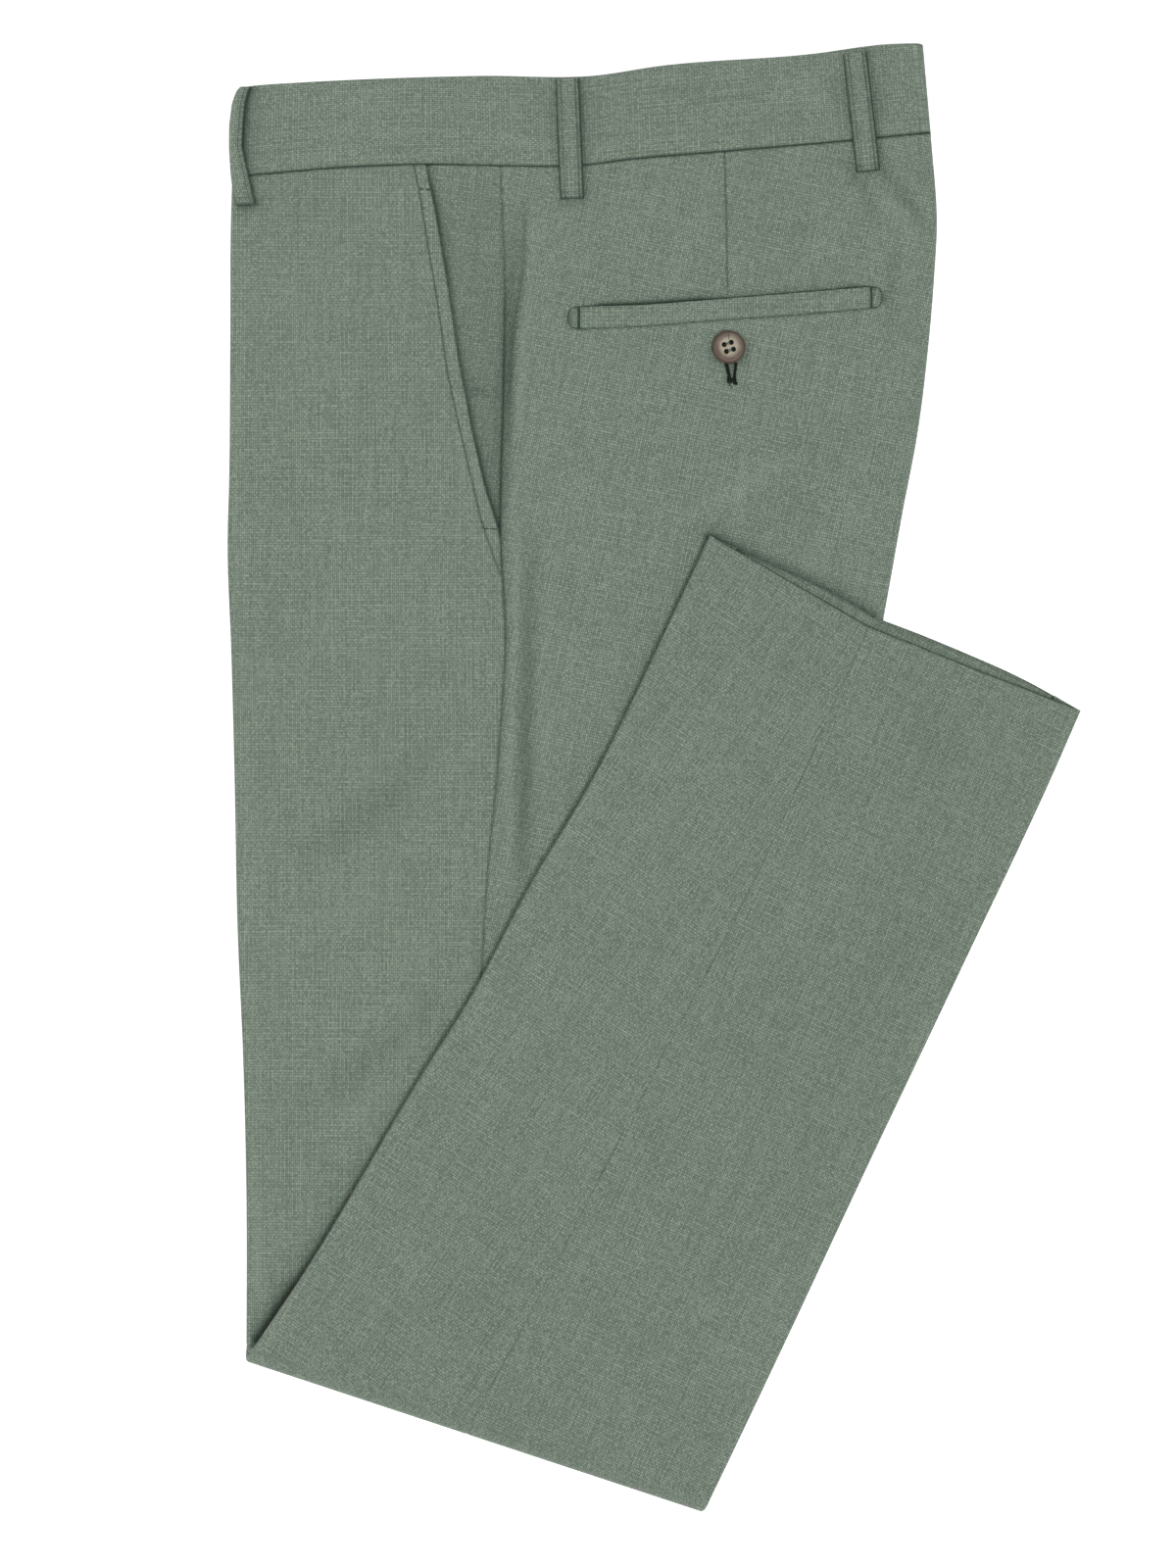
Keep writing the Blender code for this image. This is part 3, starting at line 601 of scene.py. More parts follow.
def fan(steps, near=(0.0,), far=(0.0,)):
    """Places between two ends: near and far at fixed distances from each, and even steps between those."""
    return Fan(steps, np.array(near), np.array(far[::-1]))


def spread_over(start, end, places):
    """The places of a fan for each pair of ends; the fixed distances shrink where there is no room."""
    start, end = np.asarray(start, float)[..., None], np.asarray(end, float)[..., None]
    wanted = places.near[-1] + places.far[0] + 0.01
    room = np.clip(0.85 * (end - start) / wanted, 0.0, 1.0)
    near, far = start + places.near * room, end - places.far * room
    shares = np.arange(1, places.steps) / places.steps
    middle = near[..., -1:] + (far[..., :1] - near[..., -1:]) * shares
    return np.concatenate([near, middle, far], axis=-1)


def count_of(places):
    return len(places.near) + places.steps - 1 + len(places.far)


EDGE = (0.04, 0.16, 0.4, 0.75, 1.2, 2.0, 3.2)  # close rows or columns at a seam
STITCHED_EDGE = (0.04, 0.16, 0.4, 0.75, 1.2, 2.0, 3.0, 3.9, 4.5, 5.0, 5.5, 6.0, 6.5, 7.0, 7.8)
LINE = (0.0, 0.35, 0.75, 1.3, 2.2)  # close columns at a dart
# beside the side seam, where creases are sharp
SEAM_SIDE = EDGE + (4.2, 5.2, 6.2, 7.2, 8.2, 9.2, 10.2, 11.3, 12.5, 13.8, 15.2, 16.8, 18.6)

SEAM_ROUND = 1.2


def seam_drop(distance, depth=0.6, reach=SEAM_ROUND):
    """How far the cloth rolls down to a seam."""
    bend = np.clip((reach - distance) / reach, 0, 1)
    return depth * (1 - np.sqrt(1 - bend**2))


# ---------------------------------------------------------------- making cloth


def new_collection(name):
    made = bpy.data.collections.new(name)
    bpy.context.scene.collection.children.link(made)
    return made


SHOWN = new_collection("trousers_looks")


Grid = namedtuple("Grid", "points flat shade")


def finish_piece(name, mesh, material, nodes=()):
    made = bpy.data.objects.new(name, mesh)
    mesh.materials.append(material)
    SHOWN.objects.link(made)
    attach(made, "root")
    if nodes:
        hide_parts(*nodes)
    return made


def turned(spots, degrees):
    """UV places: the warp runs up the second axis, leaning by the angle."""
    lean = math.radians(degrees)
    across = spots[..., 0] * math.cos(lean) - spots[..., 1] * math.sin(lean)
    along = spots[..., 0] * math.sin(lean) + spots[..., 1] * math.cos(lean)
    return np.stack([across, along], axis=-1)


def cloth_mesh(name, grids):
    """Grids of cloth in one mesh: each is moved to its points and carries its flat places as UVs.

    Its attribute, shade, is painted shade: it darkens the narrow places beside seams, the sharp creases and
    where other parts lie on the cloth; where it is negative it paints a highlight.
    """
    work = bmesh.new()
    layer = work.loops.layers.uv.new("flat")
    dark = work.verts.layers.float.new("shade")
    for points, flat, shade in grids:
        along, across = points.shape[:2]
        places = points * MM
        shades = np.broadcast_to(np.asarray(shade, float), (along, across)).tolist()
        grid = bmesh.ops.create_grid(work, x_segments=across - 1, y_segments=along - 1, size=1)
        index = {}
        for vert in grid["verts"]:
            column = round((vert.co.x + 1) / 2 * (across - 1))
            row = round((vert.co.y + 1) / 2 * (along - 1))
            index[vert] = (row, column)
            vert.co = places[row, column]
            vert[dark] = shades[row][column]
        sizes = (flat * MM).tolist()
        for face in {face for vert in grid["verts"] for face in vert.link_faces}:
            for loop in face.loops:
                row, column = index[loop.vert]
                loop[layer].uv = sizes[row][column]
    mesh = bpy.data.meshes.new(name)
    work.to_mesh(mesh)
    work.free()
    mesh.shade_smooth()
    return mesh


def add_cloth(name, grids, material, nodes, wall=CLOTH):
    made = finish_piece(name, cloth_mesh(name, grids), material, nodes)
    solid = made.modifiers.new("wall", "SOLIDIFY")
    solid.thickness = wall * MM
    solid.offset = 0
    solid.use_even_offset = True
    solid.use_quality_normals = True
    return made


def add_strip(name, node, rows, flats, shades, wall=CLOTH):
    """A piece of the pressed band cloth from its rows, and its area."""
    grid = Grid(*map(np.array, (rows, flats, shades)))
    made = add_cloth(f"{name}_cloth", [grid], BAND_SUITING, [node], wall)
    return made, cut_area(grid.points)


def add_panel(name, node, grid):
    made = add_cloth(f"{name}_cloth", [grid], SUITING, [node])
    return made, cut_area(grid.points)


def cut_area(points):
    """One side's area of a grid, in square metres."""
    down = np.diff(points, axis=0)[:, :-1]
    over = np.diff(points, axis=1)[:-1]
    return float(np.linalg.norm(np.cross(down, over), axis=-1).sum()) * MM * MM


# ---------------------------------------------------------------- shader maths


class Value:
    """A number that varies over a surface. Arithmetic on it adds the Math nodes."""

    def __init__(self, shader, socket):
        self.shader, self.socket = shader, socket

    def math(self, operation, *others):
        return self.shader.node("ShaderNodeMath", {"operation": operation}, [self, *others])

    def __add__(self, other):
        return self.math("ADD", other)

    def __sub__(self, other):
        return self.math("SUBTRACT", other)

    def __mul__(self, other):
        return self.math("MULTIPLY", other)

    def __truediv__(self, other):
        return self.math("DIVIDE", other)

    def __neg__(self):
        return self * -1.0

    def __rsub__(self, other):
        return -self + other

    __radd__, __rmul__ = __add__, __mul__

    def floor(self):
        return self.math("FLOOR")

    def even(self):
        """1 for an even whole number, -1 for an odd one."""
        return 1 - 2 * self.math("FLOORED_MODULO", 2.0)

    def cosine(self):
        return self.math("COSINE")

    def largest(self, other):
        return self.math("MAXIMUM", other)

    def above(self, other):
        return self.math("GREATER_THAN", other)

    def step(self, low, high):
        """0 under low, 1 over high and smooth between."""
        sockets = {"Value": self, "From Min": low, "From Max": high}
        return self.shader.node("ShaderNodeMapRange", {"interpolation_type": "SMOOTHSTEP"}, sockets)


class Shader:
    """A new material, with its Principled BSDF as the surface."""

    def __init__(self, name, roughness, **fixed):
        self.material = bpy.data.materials.new(name)
        self.material.use_nodes = True
        self.tree = self.material.node_tree
        self.surface = self.tree.nodes["Principled BSDF"]
        self.surface.inputs["Roughness"].default_value = roughness
        for socket, value in fixed.items():
            self.surface.inputs[socket.replace("_", " ")].default_value = value

    def node(self, kind, settings, sockets, output=0):
        made = self.tree.nodes.new(kind)
        for name, value in settings.items():
            if name == "stops":
                self.set_stops(made.color_ramp, value)
            else:
                setattr(made, name, value)
        pairs = sockets.items() if isinstance(sockets, dict) else enumerate(sockets)
        for key, value in pairs:
            if isinstance(value, Value):
                self.tree.links.new(value.socket, made.inputs[key])
            else:
                made.inputs[key].default_value = value
        return Value(self, made.outputs[output])

    def set_stops(self, ramp, stops):
        while len(ramp.elements) < len(stops):
            ramp.elements.new(1.0)
        for element, (place, colour) in zip(ramp.elements, stops):
            element.position = place
            element.color = (*colour, 1.0)

    def axes(self, vector):
        split = self.tree.nodes.new("ShaderNodeSeparateXYZ")
        self.tree.links.new(vector.socket, split.inputs[0])
        return [Value(self, out) for out in split.outputs]

    def flat_place(self):
        return self.axes(self.node("ShaderNodeUVMap", {"uv_map": "flat"}, {}))

    def shade(self):
        return self.node("ShaderNodeAttribute", {"attribute_name": "shade"}, {}, "Fac")

    def place(self):
        return self.node("ShaderNodeTexCoord", {}, {}, "Object")

    def point(self, x, y, z=0.0):
        return self.node("ShaderNodeCombineXYZ", {}, [x, y, z])

    def noise(self, vector, scale, detail=0.0):
        sockets = {"Vector": vector, "Scale": scale, "Detail": detail}
        return self.node("ShaderNodeTexNoise", {}, sockets, "Fac")

    def ramp(self, factor, stops):
        return self.node("ShaderNodeValToRGB", {"stops": stops}, [factor], "Color")

    def blend(self, factor, first, second, kind="MIX"):
        made = self.tree.nodes.new("ShaderNodeMix")
        made.data_type = "RGBA"
        made.blend_type = kind
        for socket, value in zip((made.inputs[0], made.inputs[6], made.inputs[7]), (factor, first, second)):
            if isinstance(value, Value):
                self.tree.links.new(value.socket, socket)
            else:
                socket.default_value = value if socket == made.inputs[0] else (*value, 1.0)
        return Value(self, made.outputs[2])

    def colour(self, value):
        self.tree.links.new(value.socket, self.surface.inputs["Base Color"])

    def roughness(self, value):
        self.tree.links.new(value.socket, self.surface.inputs["Roughness"])

    def bump(self, height, distance):
        bump = self.node("ShaderNodeBump", {}, {"Strength": 1.0, "Distance": distance, "Height": height})
        self.tree.links.new(bump.socket, self.surface.inputs["Normal"])


# ---------------------------------------------------------------- finishes

WARP_PITCH, WEFT_PITCH = 0.915 * MM, 1.23 * MM
YARN_RISE = 0.42  # how far a yarn goes over and under, against its own roundness
YARN_FILL = 0.88  # the yarn's width as a share of its pitch
SHADE = (0.045, 0.075, 0.050)
DEEP = (0.125, 0.163, 0.127)
BODY = (0.186, 0.232, 0.186)
PALE = (0.275, 0.320, 0.262)
CLOTH_COLOURS = [(0.0, DEEP), (0.32, DEEP), (0.5, BODY), (0.70, PALE), (1.0, PALE)]
# painted shade: the colour that the cloth is darkened towards by its shade attribute
PAINTED_SHADE_COLOUR = (0.016, 0.032, 0.020)
PAINTED_HIGHLIGHT_COLOUR = (0.37, 0.43, 0.36)  # painted highlight, where a ridge catches the light


def woven_cloth(name, tint=1.0):
    """An open plain weave of uneven melange yarns: every other yarn is a little darker."""
    cloth = Shader(name, 0.88, Sheen_Weight=0.12, Sheen_Roughness=0.5, Specular_IOR_Level=0.25)
    across, along, _ = cloth.flat_place()
    wander = cloth.noise(cloth.point(across, along), 9.0, 1.0) - 0.5
    u = across / WARP_PITCH + wander * 2.4
    v = along / WEFT_PITCH + wander * 1.6
    warp_yarn, weft_yarn = u.floor(), v.floor()
    in_u, in_v = u - warp_yarn - 0.5, v - weft_yarn - 0.5
    side = warp_yarn.even() * weft_yarn.even()
    warp_height = 1 - in_u * in_u * (4 / YARN_FILL**2) + side * (in_v * math.pi).cosine() * YARN_RISE
    weft_height = 1 - in_v * in_v * (4 / YARN_FILL**2) - side * (in_u * math.pi).cosine() * YARN_RISE
    warp_on_top = warp_height.above(weft_height)
    height = warp_height.largest(weft_height) - in_v * in_v * 0.8 - in_u * in_u * 0.4

    # each yarn has its own shade, and thick and thin stretches
    warp_tone = cloth.noise(cloth.point(warp_yarn * 1.3, v * 0.04), 1.0)
    weft_tone = cloth.noise(cloth.point(u * 0.04, weft_yarn * 1.3, 7.7), 1.0)
    warp_fleck = cloth.noise(cloth.point(warp_yarn * 5.1, v * 1.1, 3.1), 1.0)
    weft_fleck = cloth.noise(cloth.point(u * 1.2, weft_yarn * 6.3, 5.9), 1.0)
    warp = warp_tone * 0.38 + warp_fleck * 0.72 + warp_yarn.even() * 0.045 - 0.05
    weft = weft_tone * 0.20 + weft_fleck * 0.72 + weft_yarn.even() * 0.003 + 0.04
    tone = weft + (warp - weft) * warp_on_top
    cloud = cloth.noise(cloth.point(across, along), 22.0, 2.0) - 0.5
    tone = tone + cloud * 0.065 + (warp_on_top - 0.5) * 0.06
    colour = cloth.ramp(tone, [(place, [c * tint for c in shade]) for place, shade in CLOTH_COLOURS])
    colour = cloth.blend(height.step(-0.3, 0.9), [c * tint for c in SHADE], colour)
    # the shade attribute: painted highlight where it is negative, painted shade where it is positive
    colour = cloth.blend(cloth.shade() * -1.0, colour, PAINTED_HIGHLIGHT_COLOUR)
    cloth.colour(cloth.blend(cloth.shade(), colour, PAINTED_SHADE_COLOUR))
    cloth.bump(height, 0.12 * MM)
    return cloth.material


def sewing_thread(name, dark, light, sheen=0.2):
    """Twisted thread: short slanting plies."""
    thread = Shader(name, 0.7, Sheen_Weight=sheen, Specular_IOR_Level=0.2)
    mottle = thread.noise(thread.place(), 2600.0, 1.0)
    thread.colour(thread.ramp(mottle, [(0.35, dark), (0.65, light)]))
    thread.bump(mottle, 0.05 * MM)
    return thread.material


RIM = (0.094, 0.060, 0.044)
DISH = (0.36, 0.315, 0.24)
STREAK = (0.06, 0.04, 0.034)
NICK_LENGTH, NICK_WIDTH = 3.2 * MM, 0.24 * MM  # a fine dark line in the rim's top


def button_horn():
    """Imitation horn: brown rim, paler dish, fine streaks."""
    horn = Shader("brown_horn", 0.35, Specular_IOR_Level=0.4, Coat_Weight=0.1, Coat_Roughness=0.35)
    x, y, _ = horn.axes(horn.place())
    from_x, from_y = x - BUTTON_SPOT.x * MM, y - BUTTON_SPOT.y * MM
    radius = (from_x * from_x + from_y * from_y).math("SQRT") / (BUTTON_RADIUS * MM)
    streaks = horn.noise(horn.point(x * 5.0, y), 420.0, 3.0)
    cloud = horn.noise(horn.place(), 160.0, 2.0)
    base = horn.blend((radius + cloud * 0.25 - 0.12).step(0.42, 0.86), DISH, RIM)
    base = horn.blend(streaks.step(0.5, 0.72) * 0.35, base, STREAK)
    nick = (NICK_WIDTH - (from_x + 0.1 * MM).math("ABSOLUTE")).above(0.0) * from_y.above(NICK_LENGTH)
    base = horn.blend(nick * 0.9, base, STREAK)
    horn.colour(base)
    horn.roughness(cloud * 0.2 + 0.4)
    horn.bump(streaks, 0.02 * MM)
    return horn.material


def glowing_floor():
    # the floor glows, though it is no lamp: it lights the cloth's edges from below and whitens the shadows
    # on it
    glow = {"Emission_Color": (1.0, 1.0, 1.0, 1.0), "Emission_Strength": 0.6}
    floor = Shader("glowing_floor", 0.95, Specular_IOR_Level=0.1, **glow)
    cloud = floor.noise(floor.place(), 3.0, 2.0)
    floor.colour(floor.ramp(cloud, [(0.3, (0.90, 0.90, 0.90)), (0.7, (0.92, 0.92, 0.92))]))
    return floor.material


SUITING = woven_cloth("green_melange_suiting")
BAND_SUITING = woven_cloth("waistband_suiting", 1.01)
TACK_THREAD = sewing_thread("dark_green_thread", (0.012, 0.035, 0.018), (0.035, 0.085, 0.048))
SEAM_THREAD = sewing_thread("green_thread", (0.02, 0.04, 0.026), (0.06, 0.095, 0.066))
BUTTON_THREAD = sewing_thread("button_thread", (0.07, 0.1, 0.08), (0.17, 0.21, 0.17))
# near black and without sheen: the buttonhole's thread, and in the button's holes painted shade as well
BUTTONHOLE_THREAD_AND_HOLE_SHADE = sewing_thread("buttonhole_thread", (0.002, 0.004, 0.002), (0.008, 0.013, 0.008), 0.0)
HORN = button_horn()

# ---------------------------------------------------------------- leg panels

FRONT_GRAIN, BACK_GRAIN, FACING_GRAIN = 0.0, 12.0, 7.0
FRONT_GRAIN_LEAN = math.tan(math.radians(4.6))  # below the knee
# rows on what shows, on the side that lies down, and on what is hidden in the fold
FINE_STEP, UNDER_SIDE_STEP, UNDER_LEG_STEP = 2.6, 4.0, 6.0

HEM_EDGE = (0.0, 0.25, 0.7, 1.6, 3.2)
LIFT_STEPS = 14


def leg_rows(arm, upper_step, lower_step):
    """Ways of the rows from the waist to the hem, with the hem's own close rows."""
    waist = EDGE if upper_step <= FINE_STEP else (0.04, 0.4, 1.2, 3.2)
    upper = spread_over(0.0, KNEE_START, fan(round(KNEE_START / upper_step), waist))
    knee = KNEE_START + KNEE_ARC * np.arange(1, LIFT_STEPS) / LIFT_STEPS
    below = fan(round(arm.length / lower_step), (0.0,), HEM_EDGE)
    lower = spread_over(KNEE_END, KNEE_END + arm.length, below)
    return np.concatenate([upper, knee, lower])


OVER_SHADE = 0.05  # painted shade: the folded leg is a little darker than the thighs
CREASE_LIGHT = Shade(-0.07, 6.0)  # and painted light: their front crease a little lighter
# painted shade: dark lines along the waist and side seams, the front pocket's edge and its stitches, the
# dart, and the folded leg's top hem
WAIST_SEAM_SHADE, RIGHT_SEAM_SHADE = Shade(0.88, 0.65), Shade(0.38, 0.5)
POCKET_EDGE_SHADE, POCKET_STITCH_SHADE, DART_SEAM_SHADE = Shade(0.85, 0.55), Shade(0.62, 0.5), Shade(0.62, 0.5)
TOP_HEM_SHADE = Shade(0.85, 0.5)


def face_fade(from_edge, from_seam):
    """Creases of the cloth die out at its pressed edges and its seams."""
    return smooth(from_edge / 9.0) * smooth((from_seam + 0.5) / 4.0)


def panel_relief(left, way, spot):
    """Height and shade of the creases on whichever side of the fold a panel's outer face is."""
    x, y = spot[..., 0], spot[..., 1]
    above_knee = way <= KNEE_START
    if left:
        return [np.where(above_knee, part, 0.0) for part in top_relief(x, y)]
    near_knee = smooth((KNEE_START - 4 - way) / 10.0)
    under = [part * near_knee for part in relief(UNDER_FOLDS, x, y)]
    under[0] = np.minimum(under[0], 0.0)
    over = [part * smooth((way - KNEE_END) / 25.0) for part in relief(LEG_FOLDS, x, y)]
    over[1] = layered(over[1], OVER_SHADE)
    return [np.where(above_knee, *parts) for parts in zip(under, over)]


SeamShade = namedtuple("SeamShade", "down narrow wide")
SIDE_SEAM_SHADES = [  # painted shade on the left side, down from the waist: the line, and the slope behind it
    SeamShade(0, 0.35, 0.0), SeamShade(45, 0.4, 0.1), SeamShade(68, 0.75, 0.3),
    SeamShade(95, 0.88, 0.35), SeamShade(150, 0.88, 0.35), SeamShade(180, 0.75, 0.25),
    SeamShade(226, 0.55, 0.1), SeamShade(330, 0.45, 0.0),
]
NARROW_REACH, WIDE_REACH = 0.8, 3.4


def side_seam_shade(left, way, distance):
    if not left:
        uneven = 0.5 + 0.5 * np.sin(way / 31.0) * np.sin(way / 11.0 + 1)
        return uneven * cast(distance, RIGHT_SEAM_SHADE)
    return read(SIDE_SEAM_SHADES, "narrow", way) * bell(distance, NARROW_REACH)


def behind_seam_shade(left, way, distance):
    return left * read(SIDE_SEAM_SHADES, "wide", way) * bell(distance, WIDE_REACH)


def loop_frame(loop, x, y):
    """Where a place is across a belt loop, and how far below its foot."""
    _, bottom, down, over = loop_lines(loop)
    return [(x - bottom[0]) * way[0] + (y - bottom[1]) * way[1] for way in (over, down)]


HEM_LINE = through(HEM_UNDER_FRONT + HEM_UNDER_BACK[1:])
# painted shadow of the folded leg: on the under leaf beside its top hem, on the thighs beside its hem and
# its crease, and in the knee's corner
UNDER_HEM_START = 0.5
UNDER_HEM, HEM_NEAR, HEM_WIDE = Shade(0.85, 0.9), Shade(0.5, 1.9), Shade(0.36, 4.2)
CREASE_NEAR, CREASE_WIDE = Shade(0.55, 2.6), Shade(0.16, 7.0)
BY_KNEE, BY_KNEE_REACH = -140.0, 95.0  # where the painted shade beside the folded leg's crease sets in
WEDGE, WEDGE_START, WEDGE_REACH = Shade(0.7, 4.0), -224.0, 12.0  # and where it fills the knee's corner


def beside_leg(x, y, below_knee):
    """Painted shadow of the folded leg on the cloth under it, at its hem and by the knee."""
    if below_knee:
        near = np.minimum(*(distance_to(through(line), x, y)[0] for line in (HEM_TOP_FRONT, HEM_TOP_BACK)))
        return cast(np.maximum(near - UNDER_HEM_START, 0), UNDER_HEM)
    near = distance_to(HEM_LINE, x, y)[0]
    crease = distance_to(through(LOWER_FRONT_CREASE), x, y)[0]
    by_crease = smooth((BY_KNEE - y) / BY_KNEE_REACH) * cast(crease, CREASE_NEAR, CREASE_WIDE)
    wedge = smooth((WEDGE_START - y) / WEDGE_REACH) * cast(crease, WEDGE)
    return layered(cast(near, HEM_NEAR, HEM_WIDE), by_crease, wedge)


def leg_shade(left, x, y, way):
    """Painted shadow where the folded leg lies on the thighs, and a painted dark line along its own top
    hem.
    """
    if not left:
        return cast(way - KNEE_END - LOWER_TOP.length, TOP_HEM_SHADE)
    return np.where(way < KNEE_START, beside_leg(x, y, False), beside_leg(x, y, True) * (way > KNEE_END))


LOOPS_DOWN = 60.0  # the loops lie above this way
# painted shadow round the flat loops, more behind them to their right, and round the front loop, more where
# it lies on the band
BESIDE_LOOP, BEHIND_LOOP, LOOP_SHADE_REACH = 0.16, 0.3, 2.8
FRONT_LOOP_EDGE, FRONT_LOOP_REACH = Shade(0.85, 0.8), 3.4
FRONT_LOOP_FOOT, FRONT_LOOP_BAND = 0.4, 0.35  # on the panel, and what the band adds
BAND_SHADE_START, BAND_SHADE_REACH = 278.0, 12.0


def beside_loops(x, y):
    """Painted shadow on the cloth round the belt loops."""
    shade = 0.0
    for loop in FLAT_LOOPS:
        across, below = loop_frame(loop, x, y)
        out = np.hypot(np.maximum(np.abs(across) - LOOP_WIDTH / 2, 0), np.maximum(below, 0))
        strength = BESIDE_LOOP + BEHIND_LOOP * smooth(across / LOOP_WIDTH)
        shade = layered(shade, strength * bell(out, LOOP_SHADE_REACH))
    edge = read(FRONT_LOOP, "edge", y) + read(FRONT_LOOP, "reach", y)
    out = np.hypot(np.maximum(x - edge, 0), np.maximum(FRONT_LOOP[0].y - y, 0))
    strength = FRONT_LOOP_FOOT + FRONT_LOOP_BAND * smooth((y - BAND_SHADE_START) / BAND_SHADE_REACH)
    return layered(shade, cast(out, FRONT_LOOP_EDGE), strength * bell(out, FRONT_LOOP_REACH))


def level_of(left, depth):
    return STACK - depth if left else depth


STITCH_DEPTH, STITCH_REACH = 0.35, 0.55  # of the groove along the front pocket's stitches
STRIP_RISE, STRIP_PLACE, STRIP_REACH = 0.2, 2.6, 1.6  # the fuller strip between those and the mouth


def panel(left, arm, way, reach, depth, laid_reach, grain):
    """A panel's shell from its columns; laid_reach is reach on the flat cloth."""
    level = level_of(left, depth)
    points = leg_place(way, reach, level, arm)
    flat = laid_out(way, laid_reach, np.full_like(depth, level_of(left, CLOTH / 2)), arm)
    return points, turned(flat, grain)


def add_front(left, arm, way):
    side = "left" if left else "right"
    front, _ = leg_widths(way, arm)
    inset = np.where(way < KNEE_START, read(POCKET_MOUTH, "inset", way), 0.0)
    seam = front - inset
    edge = crease_roll(STACK, CLOTH / 2, np.full(way.shape, RETURN))[:, ::-1]
    first = edge[:, -1, 0]
    face = spread_over(first, seam, fan(40, (1.5,), STITCHED_EDGE))
    reach = np.concatenate([edge[..., 0], face], axis=1)
    laid = np.concatenate([first[:, None] - edge[..., 2], face], axis=1)
    way = np.broadcast_to(way[:, None], reach.shape)

    down = way[:, edge.shape[1]:]
    from_seam = seam[:, None] - face
    mouth = smooth(inset / 1.0)[:, None]
    depth = CLOTH / 2 + seam_drop(from_seam) * (1 - mouth) + seam_drop(from_seam, 0.15, 0.6) * mouth
    depth = depth + seam_drop(down)
    spot = leg_place(way, reach, level_of(left, CLOTH / 2) + 0 * reach, arm)[..., :2]
    fade = face_fade(face - first[:, None], from_seam)
    waves, creases = (part[:, edge.shape[1]:] * fade for part in panel_relief(left, way, spot))
    stitching = face - front[:, None] + read(POCKET_STITCHING, "inset", down)
    sewn = smooth((POCKET_STITCHING[-1].down - down) / 4.0)
    strip = STRIP_RISE * bell(stitching - STRIP_PLACE, STRIP_REACH) * mouth * left
    depth = depth - waves + sewn * (STITCH_DEPTH * bell(stitching, STITCH_REACH) - strip)
    depth = np.concatenate([np.broadcast_to(edge[..., 1], edge.shape[:2]), depth], axis=1)
    x, y = np.moveaxis(spot[:, edge.shape[1]:], -1, 0)
    shade = layered(
        cast(down, WAIST_SEAM_SHADE), creases, np.where(down < LOOPS_DOWN, beside_loops(x, y), 0.0),
        side_seam_shade(left, down, from_seam) * (1 - mouth), cast(from_seam, POCKET_EDGE_SHADE) * mouth,
        cast(stitching, POCKET_STITCH_SHADE) * sewn, leg_shade(left, x, y, down),
        left * cast(face - first[:, None], CREASE_LIGHT),
    )
    shade = np.concatenate([cast(way[:, :edge.shape[1]], WAIST_SEAM_SHADE), shade], axis=1)

    points, flat = panel(left, arm, way, reach, depth, laid, FRONT_GRAIN)
    below = np.maximum(way - KNEE_START, 0.0)
    flat[..., 1] += FRONT_GRAIN_LEAN * (flat[..., 0] + 130.0) * smooth(below / 80.0)
    flat[..., 0] += FRONT_GRAIN_LEAN * (np.sqrt(below**2 + 400.0) - 20.0)
    made, area = add_panel(f"{side}_front", f"{side}_front", Grid(points, flat, shade))
    width = float(seam.max() + edge[0, 0, 2] - first[0]) * MM
    return made, (width, float(way.max()) * MM), area


WELT_BETWEEN = (60.0, 80.0)  # ways above and below the welt


def welt_way(reach, edge):
    """For each column, how far down the hip pocket's lower or upper edge lies."""
    along, level = column(POCKET_WELT, "x"), column(POCKET_WELT, edge)
    slope = np.diff(level)[[0, -1]] / np.diff(along)[[0, -1]]
    near, far = (UPPER.spot(np.full_like(reach, way) / UPPER.length, reach) for way in WELT_BETWEEN)
    x = (near[..., 0] + far[..., 0]) / 2
    line = np.interp(x, along, level)
    line = line + np.minimum(x - along[0], 0) * slope[0] + np.maximum(x - along[-1], 0) * slope[1]
    share = (near[..., 1] - line) / (near[..., 1] - far[..., 1])
    return WELT_BETWEEN[0] + (WELT_BETWEEN[1] - WELT_BETWEEN[0]) * share


def welt_lines(x):
    """The lower and the upper edge of the hip pocket's welt."""
    return [read(POCKET_WELT, edge, x) for edge in ("lower", "upper")]


def within_welt(x, blend):
    first, last = POCKET_WELT[0].x - 1, POCKET_WELT[-1].x + 1
    return smooth((x - first) / blend) * smooth((last - x) / blend)


RECESS_DEPTH, RECESS_END = 0.55, 2.5
SLIT_DEPTH = 1.1


def pocket_recess(x, y):
    """The panel is sunk where the welt lies on it, most at the slit above it."""
    lower, upper = welt_lines(x)
    inside = smooth((y - lower + 0.5) / 0.5) * smooth((upper + 0.75 - y) / 0.5)
    slit = bell(y - upper - 0.25, 0.55)
    return within_welt(x, RECESS_END) * (RECESS_DEPTH * inside + SLIT_DEPTH * slit)


D_REACH, D_STEPS = 5.6, 9


def d_line(end, outward):
    """The half round of stitches outside an end of the hip pocket."""
    x, lower, upper = end
    middle, half = (lower + upper) / 2, (upper - lower) / 2
    angles = np.linspace(math.pi / 2, -math.pi / 2, D_STEPS)
    width = D_REACH * np.abs(np.cos(angles)) ** 0.6
    return through(np.column_stack([x + outward * width, middle + half * np.sin(angles)]))


POCKET_ENDS = [(POCKET_WELT[0], -1), (POCKET_WELT[-1], 1)]
# painted shade: on the slope above the slit, along the welt's foot, along the half rounds of stitches and
# under the buttonhole
SLIT_SLOPE, WELT_FOOT, D_STITCH_SHADE = Shade(0.28, 3.6), Shade(0.62, 0.6), Shade(0.62, 0.5)
UNDER_BUTTONHOLE = Shade(0.3, 3.2)
# painted shadow round the button, darker below it
ROUND_BUTTON, BELOW_BUTTON, BUTTON_SHADE_REACH = 0.2, 0.18, 1.9


